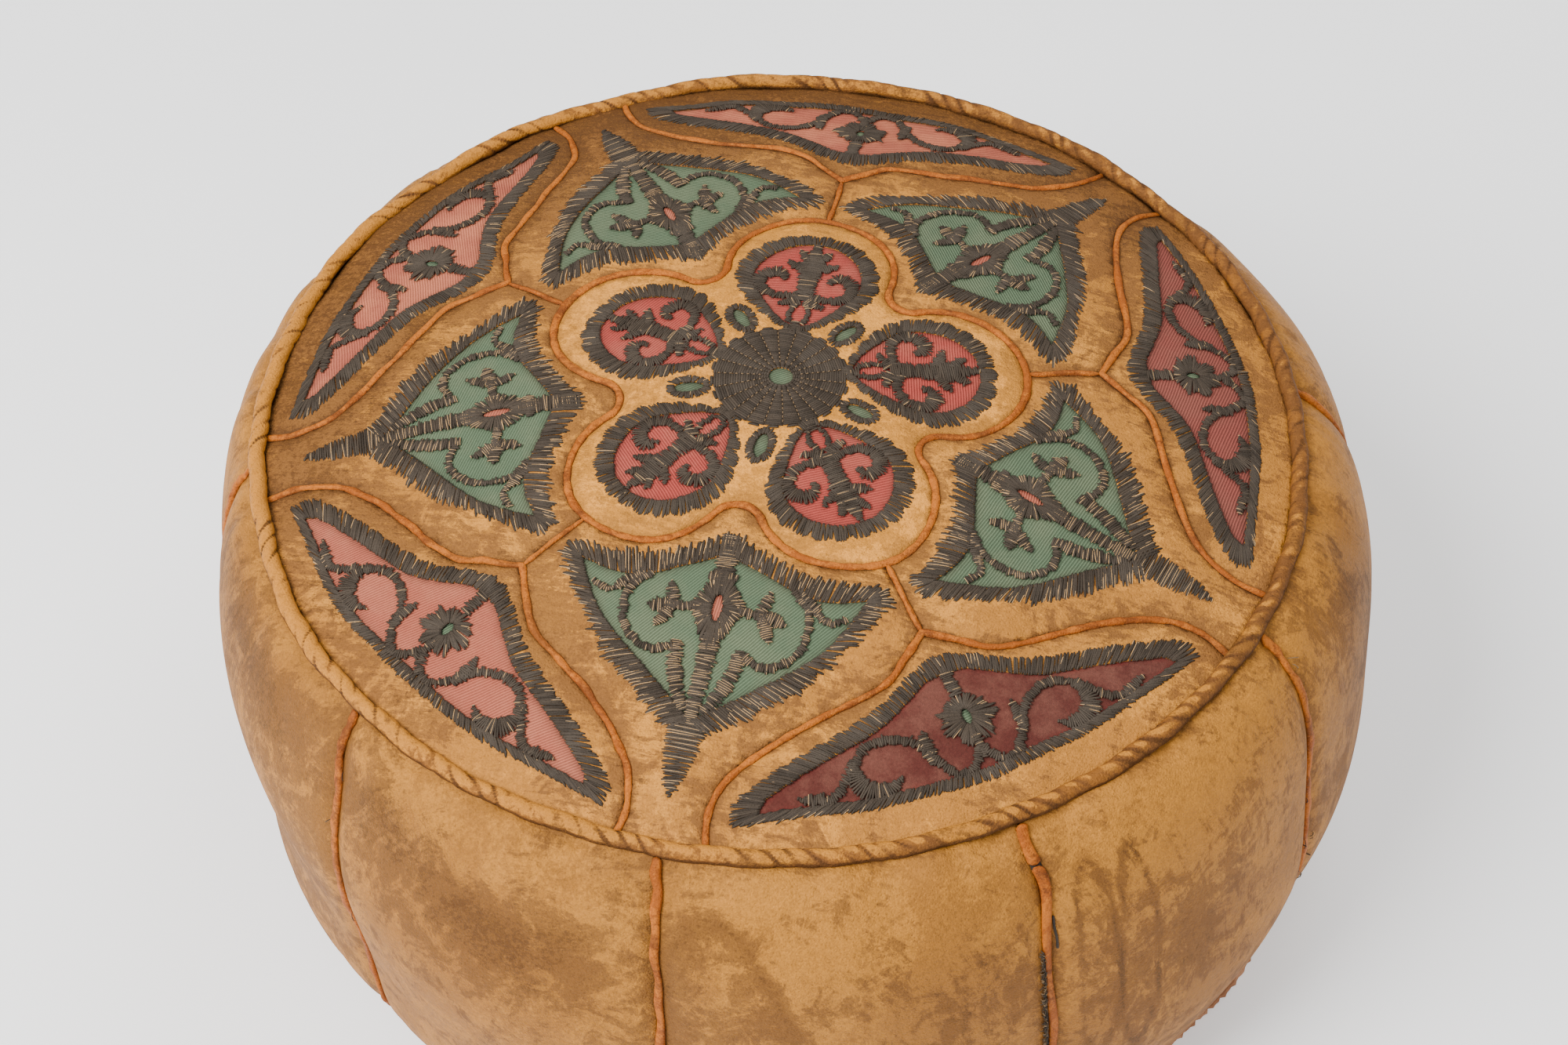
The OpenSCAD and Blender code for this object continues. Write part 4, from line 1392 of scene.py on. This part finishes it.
class POUF_OT_embroidery(TopOperator, bpy.types.Operator):
    """Stitch the borders, scrolls, petals and the middle disc"""

    bl_idname = "pouf.embroidery"
    bl_label = "Embroidery"

    # the share of straw threads in each panel
    KITE_STRAW = (0.6, 0.5, 0.3, 0.45, 0.5)
    OUTER_STRAW = (0.12, 0.08, 0.06, 0.1, 0.12)
    FLUTES = 22

    def execute(self, context):
        self.begin(context)
        for i, (kite_axis, lobe_axis) in enumerate(zip(KITE_AXES, LOBE_AXES)):
            needle = self.kite(400 + i, self.KITE_STRAW[i])
            self.sewn(needle, f"kite_stitches_{i + 1}", kite_axis, "kite_embroidery")
            needle = self.outer(420 + i, self.OUTER_STRAW[i])
            self.sewn(needle, f"outer_stitches_{i + 1}", lobe_axis, "outer_embroidery")
            needle = self.petal(440 + i)
            self.sewn(needle, f"petal_stitches_{i + 1}", lobe_axis, "petal_embroidery")
        self.sewn(self.disc(460), "middle_stitches", 90, "centre_embroidery")
        return {"FINISHED"}

    def sewn(self, needle, name, axis, stands_for):
        points, faces, tones = needle.mesh(self.form.on_top, lambda p: to_axis(p, axis), 0.15)
        piece(name, points, faces, FINISHES["thread"], stands_for, {"tone": tones})

    def kite(self, seed, straw):
        n = Needle(seed)
        wide = {"straw": straw * 0.9, "pitch": 1.0, "width": 1.12, "ragged": 1.2}
        for flip in (np.asarray, mirrored):
            n.row(flip(KITE_SILL), flip(KITE_SILL_EDGE), slant=1.5, **wide)
            tip = flip(KITE_SILL)[-1:]
            fan = flip(np.vstack([KITE_SILL_EDGE[-1:], [(70, 105)], KITE_FLANK_EDGE[:1]]))
            n.row(np.repeat(tip, 3, 0) + [[0, 0], [0.5, 0.5], [0, 1]], fan, **wide)
            n.row(flip(KITE_FLANK), flip(KITE_FLANK_EDGE), slant=-1.5, **wide)
        spike = tapering((0, 0.2, 0.5, 0.62, 0.8, 1), (19, 15.5, 13, 11, 8, 2))
        n.satin([(0, 178), (0, 213)], spike, 1.05, straw=straw * 0.5)
        n.satin([(0, 90), (0, 116)], 8.5, straw=straw)
        n.satin([(0, 139), (0, 180)], lambda t: 8.5 - 2.5 * t, straw=straw)
        eye = oval(EYE_AT, *EYE, 48)
        sides = np.linspace(0, 2 * math.pi, 48, endpoint=False)
        reach = 1 / (np.abs(np.cos(sides)) / 12 + np.abs(np.sin(sides)) / 22)
        diamond = np.array(EYE_AT) + np.stack([np.cos(sides), np.sin(sides)], 1) * reach[:, None]
        n.row(closed(eye), closed(diamond), ragged=0.4, straw=straw)
        n.satin([(-6.5, 112), (6.5, 112)], lambda t: 8 * math.sin(math.pi * t) ** 0.6, straw=straw)
        n.paired("satin", path_through([(4, 174), (8, 166), (12, 155), (13, 145)]),
                 lambda t: 3.2 + 3.6 * math.sin(math.pi * (0.1 + 0.78 * t)), straw=straw)
        n.paired("satin", path_through([(15, 147), (22, 150), (30, 148), (37, 140), (39, 130),
                                        (37, 121), (30, 114)]), 3.6, straw=straw * 0.7)
        n.paired("satin", path_through([(9, 127), (15, 128), (21, 128)]), 4.0, straw=straw)
        n.paired("leaf", (16, 128), (29.5, 130), 7.5, straw=straw)
        n.paired("leaf", (18, 127), (24, 140), 6.0, straw=straw)
        n.paired("leaf", (17, 129), (21, 116), 5.5, straw=straw)
        n.paired("leaf", (33, 114), (45, 124), 5.5, straw=straw)
        n.paired("satin", path_through([(40, 121), (47, 125), (54, 122)]), 3.0, straw=straw)
        return n

    def outer(self, seed, straw):
        n = Needle(seed)
        for flip in (np.asarray, mirrored):
            n.row(flip(OUTER_SILL), flip(OUTER_SILL_EDGE), 0.9, 0.25, 1.05, straw, 1.0, 10, 1.6)
            ends = flip(np.vstack([OUTER_SILL[-1:], [(95, 192)], OUTER_HEAD[:1]]))
            fan = flip(np.vstack([OUTER_SILL_EDGE[-1:], [(106, 187)], OUTER_HEAD_EDGE[:1]]))
            n.row(ends, fan, ragged=0.5, straw=straw)
            n.row(flip(OUTER_HEAD), flip(OUTER_HEAD_EDGE), 0.85, 0.3, 1.0, straw)
        n.satin([(0, 167), (0, 178)], 6.0, straw=straw)
        n.satin([(0, 197), (0, 207)], lambda t: 5.5 - 2.5 * t, straw=straw)
        dot = oval(FLOWER_AT, *FLOWER_DOT, 60)
        around = np.linspace(0, 2 * math.pi, 60, endpoint=False)
        spiky = np.where(np.sin(around) < -0.5, 10.5, 9.5 + 4.4 * np.abs(np.cos(3.5 * (around - 0.35))))
        flower = np.stack([np.cos(around), np.sin(around) * 0.95], 1) * spiky[:, None]
        flower = np.array(FLOWER_AT) + flower
        n.row(closed(dot), closed(flower), ragged=0.5, straw=straw)
        scroll = path_through([(1.5, 203), (4, 208), (9, 211), (15, 209), (20, 202), (23, 196),
                               (29, 190), (37, 186.5), (45, 187), (52, 192)])
        n.paired("satin", scroll, 4.2, straw=straw)
        n.paired("leaf", (22, 203), (20.5, 188), 6.0, straw=straw)
        curl = [(51, 191), (53.5, 198), (50, 204.5), (43, 206.5), (36, 204)]
        n.paired("spiral_leaf", curl, (4, 8, 9.5, 7, 1.0), straw=straw)
        n.paired("satin", path_through([(51, 190), (57, 196), (64, 201), (71, 201)]), 4.0, straw=straw)
        n.paired("leaf", (66, 202), (80, 195.5), 5.0, straw=straw)
        return n

    def petal(self, seed):
        n = Needle(seed)
        inner = evenly(closed(PETAL_CUT), count=150)
        outer = evenly(closed(both_halves(PETAL_EDGE)), count=150)
        n.row(inner, outer, 0.8, 0.2, 1.0, 0.05, 0, 9.5)
        n.satin([(0, 50), (0, 70)], lambda t: 9 + 3 * abs(2 * t - 1) ** 2, straw=0.12)
        n.satin([(0, 69), (0, 89)], tapering((0, 0.25, 0.5, 1), (9, 14, 9, 3)), straw=0.1)
        n.paired("leaf", (3, 70), (12.5, 76), 5.2, straw=0.08)
        n.paired("leaf", (3, 77), (7.5, 84.5), 4.6, straw=0.08)
        n.paired("satin", path_through([(2, 50), (6, 47.5), (10, 46)]), lambda t: 7 - 4 * t, straw=0.2)
        curl = [(3, 53), (11, 51.5), (18.5, 54), (22, 60), (19.5, 66), (13, 67.5), (10.5, 62.5)]
        n.paired("spiral_leaf", curl, (5, 4.4, 5.4, 6.4, 7.4, 7.0, 3), straw=0.08)
        n.paired("satin", path_through([(2.5, 47), (4.2, 41), (3, 35)]), 3.0, straw=0.1)
        n.satin([(0, 30), (0, 35)], 6, straw=0.1)
        return n

    def disc(self, seed):
        n = Needle(seed)
        for i in range(self.FLUTES):
            axis = 360 * i / self.FLUTES + 5
            for r in np.linspace(DISC_DOT + 0.3, DISC_R - 0.8, 22):
                half = math.pi * r / self.FLUTES * 1.04
                p, q = turned([(-half, r + 0.4 * (1 - r / 30)), (half, r - 0.4)], axis)
                n.stitch(p, q, 1.4 * n.rng.uniform(0.85, 1.1), lift=1.3)
            scallop = turned([(-half * 0.6, DISC_R + 0.4), (half * 0.6, DISC_R + 0.4)], axis)
            n.stitch(*scallop, 1.5, lift=1.2)
            side = turned([(0, DISC_DOT + 3), (0, DISC_R - 1)], axis + 180 / self.FLUTES)
            side = evenly(side, 2.6)
            for a, b in zip(side[:-1], side[1:]):
                n.stitch(a, a + (b - a) * 0.5, 0.5, 0.93, 1.7)
        for axis in KITE_AXES:
            ring = evenly(closed(oval(LEAF_AT, *LEAF_RING, 60)), count=60)
            slot = evenly(closed(oval(LEAF_AT, *LEAF_WINDOW, 60)), count=60)
            n.row(to_axis(slot, axis), to_axis(ring, axis), ragged=0.3, straw=0.06)
        return n


class POUF_OT_foot(PoufOperator, bpy.types.Operator):
    """Finish the base: suede edge, base leather, placket and lacing"""

    bl_idname = "pouf.foot"
    bl_label = "Base and suede edge"

    def execute(self, context):
        self.begin(context)
        self.welt()
        self.base_leather()
        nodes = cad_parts
        for name, finish in (("base_placket", "base"), ("base_lace", "thong")):
            nodes[name].data.materials.clear()
            nodes[name].data.materials.append(FINISHES[finish])
        return {"FINISHED"}

    def welt(self):
        """The suede edge at the foot, ragged and most frayed on the front right."""
        low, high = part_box("base_welt")
        bottom, top = low.z / MM, high.z / MM
        inner, outer = self.form.foot - 1.0, self.form.foot + 5.0
        middle = (inner + outer) / 2
        a = np.linspace(0, 2 * math.pi, 720, endpoint=False)
        ragged = 1.0 * Ripple(71, (0.07, 0.031, 0.017, 0.012))(a, 0 * a)
        ragged = ragged + 1.6 * Ripple(72, (0.3, 0.7, 1.1))(a, 0 * a)
        lift = 0.9 + 0.9 * Ripple(73, (0.2, 0.12, 0.5))(a, 0 * a)
        fringe = 6 * np.clip(np.cos(a - math.radians(325)), 0, 1) ** 2
        across, forward = self.form.lean(1.0)[:2]
        rings = []
        for r, z, free in (
            (inner, bottom, 0),
            (middle, bottom, 0.3),
            (outer - 1, bottom + 0.3, 1),
            (outer, (bottom + top) / 2, 1),
            (outer - 1.2, top, 1),
            (middle, top, 0.3),
            (inner, top, 0),
        ):
            r = r + (ragged + fringe) * free
            ring = [r * np.cos(a) + across, r * np.sin(a) + forward, z + lift * free]
            rings.append(np.stack(ring, 1))
        points, quads = wrapped(np.array(rings))
        piece("suede_welt", points, quads, FINISHES["suede"], "base_welt")

    def base_leather(self):
        """The round underside, with its slit and the holes for the thong."""
        edge = self.form.foot + 1.5
        outline = oval((0, 0), edge, edge, 240)
        wavy = 1 + 0.003 * Ripple(74, (90, 40, 160))(*outline.T)
        slit = np.array([(1.5, -98), (1.5, 98), (-1.5, 98), (-1.5, -98)], float)
        holes = [evenly(closed(slit), 3)[:-1]]
        holes += [oval((x, 20 * i), 2, 2, 16) for i in range(-4, 5) for x in (-9, 9)]
        flat, faces = flat_mesh(outline * wavy[:, None], holes, 6)
        points, sides, used = slab(flat, faces, self.form.under, 2.5, 2.5)
        r = np.hypot(*used.T)
        soil_and_shade = 0.5 + 0.7 * np.exp(-((edge - r) / 18) ** 2)
        values = {"soil_and_shade": np.tile(soil_and_shade, 2), "paling": np.zeros(2 * len(used))}
        piece("base_leather", points, sides, FINISHES["base"], "base_panel", values)


class POUF_OT_stage(PoufOperator, bpy.types.Operator):
    """Set the floor, the soft light and the camera"""

    bl_idname = "pouf.stage"
    bl_label = "Stage"

    FLOOR_REACH = 6.0
    LAMPS = (  # name, place, size, power
        ("window", (-1.1, -1.15, 2.0), 1.5, 118),
        ("fill", (1.5, -1.5, 1.8), 2.0, 16),
        ("back", (0.6, 1.3, 2.0), 1.8, 26),
    )
    LENS, SENSOR = 66.3, 36
    EYE, AIM = (2.3, -884.3, 966.4), (2.3, -58.0, 0)

    def execute(self, context):
        self.begin(context)
        scene = context.scene
        f = Finish("pale_floor")
        speck = f.noise(3, 4, 0.5)
        floor_colour = f.blend(speck.between(0.3, 0.7), (0.86, 0.86, 0.86), (0.88, 0.88, 0.88))
        glow = {"Emission Color": (1, 1, 1, 1), "Emission Strength": 0.35}
        material = f.done(floor_colour, 0.8, **glow)
        mesh = bpy.data.meshes.new("floor")
        far = self.FLOOR_REACH
        corners = [(-far, -far, 0), (far, -far, 0), (far, far, 0), (-far, far, 0)]
        mesh.from_pydata(corners, [], [(0, 1, 2, 3)])
        mesh.materials.append(material)
        floor = bpy.data.objects.new("floor", mesh)
        scene.collection.objects.link(floor)
        world = bpy.data.worlds.new("soft_room")
        world.use_nodes = True
        background = world.node_tree.nodes["Background"]
        background.inputs["Color"].default_value = (1, 1, 1, 1)
        background.inputs["Strength"].default_value = 0.6
        scene.world = world
        for lamp in self.LAMPS:
            self.lamp(*lamp)
        camera = bpy.data.cameras.new("camera")
        camera.lens, camera.sensor_width = self.LENS, self.SENSOR
        camera.clip_start, camera.clip_end = 0.05, 50
        eye, aim = self.spot(*self.EYE), self.spot(*self.AIM)
        obj = bpy.data.objects.new("camera", camera)
        obj.location = eye
        obj.rotation_euler = (aim - eye).to_track_quat("-Z", "Y").to_euler()
        scene.collection.objects.link(obj)
        scene.camera = obj
        return {"FINISHED"}

    def spot(self, across, back, up):
        """A place given as the camera sees it, from the middle of the rim."""
        x, y = turned([(across, back)], VIEW_TURN)[0] * MM
        return Vector((x, y, self.sizes.cord_height + up * MM))

    @staticmethod
    def lamp(name, place, size, power):
        light = bpy.data.lights.new(name, "AREA")
        light.shape, light.size, light.energy = "DISK", size, power
        obj = bpy.data.objects.new(name, light)
        obj.location = place
        obj.rotation_euler = (Vector((0, 0, 0.1)) - Vector(place)).to_track_quat("-Z", "Y").to_euler()
        bpy.context.scene.collection.objects.link(obj)


OPERATORS = (
    POUF_OT_finishes,
    POUF_OT_inside,
    POUF_OT_gores,
    POUF_OT_side_piping,
    POUF_OT_frays,
    POUF_OT_rim_cord,
    POUF_OT_top_leather,
    POUF_OT_top_piping,
    POUF_OT_cloths,
    POUF_OT_embroidery,
    POUF_OT_foot,
    POUF_OT_stage,
)


class POUF_PT_panel(bpy.types.Panel):
    """Lists the pouf's sizes, colours and steps"""

    bl_label = "Leather pouf"
    bl_idname = "POUF_PT_panel"
    bl_space_type = "VIEW_3D"
    bl_region_type = "UI"
    bl_category = "Pouf"

    def draw(self, context):
        for group in (context.scene.pouf_sizes, context.scene.pouf_colours):
            box = self.layout.box()
            for name in group.__annotations__:
                box.prop(group, name)
        for operator in OPERATORS:
            self.layout.operator(operator.bl_idname)


CLASSES = (PoufSizes, PoufColours, *OPERATORS, POUF_PT_panel)


def register():
    for cls in CLASSES:
        bpy.utils.register_class(cls)
    bpy.types.Scene.pouf_sizes = bpy.props.PointerProperty(type=PoufSizes)
    bpy.types.Scene.pouf_colours = bpy.props.PointerProperty(type=PoufColours)


def unregister():
    del bpy.types.Scene.pouf_sizes, bpy.types.Scene.pouf_colours
    for cls in reversed(CLASSES):
        bpy.utils.unregister_class(cls)


def main():
    register()
    bpy.ops.pouf.finishes()
    bpy.ops.pouf.inside()
    bpy.ops.pouf.gores()
    bpy.ops.pouf.side_piping()
    bpy.ops.pouf.frays()
    bpy.ops.pouf.rim_cord()
    bpy.ops.pouf.top_leather()
    bpy.ops.pouf.top_piping()
    bpy.ops.pouf.cloths()
    bpy.ops.pouf.embroidery()
    bpy.ops.pouf.foot()
    bpy.ops.pouf.stage()


if __name__ == "__main__":
    main()
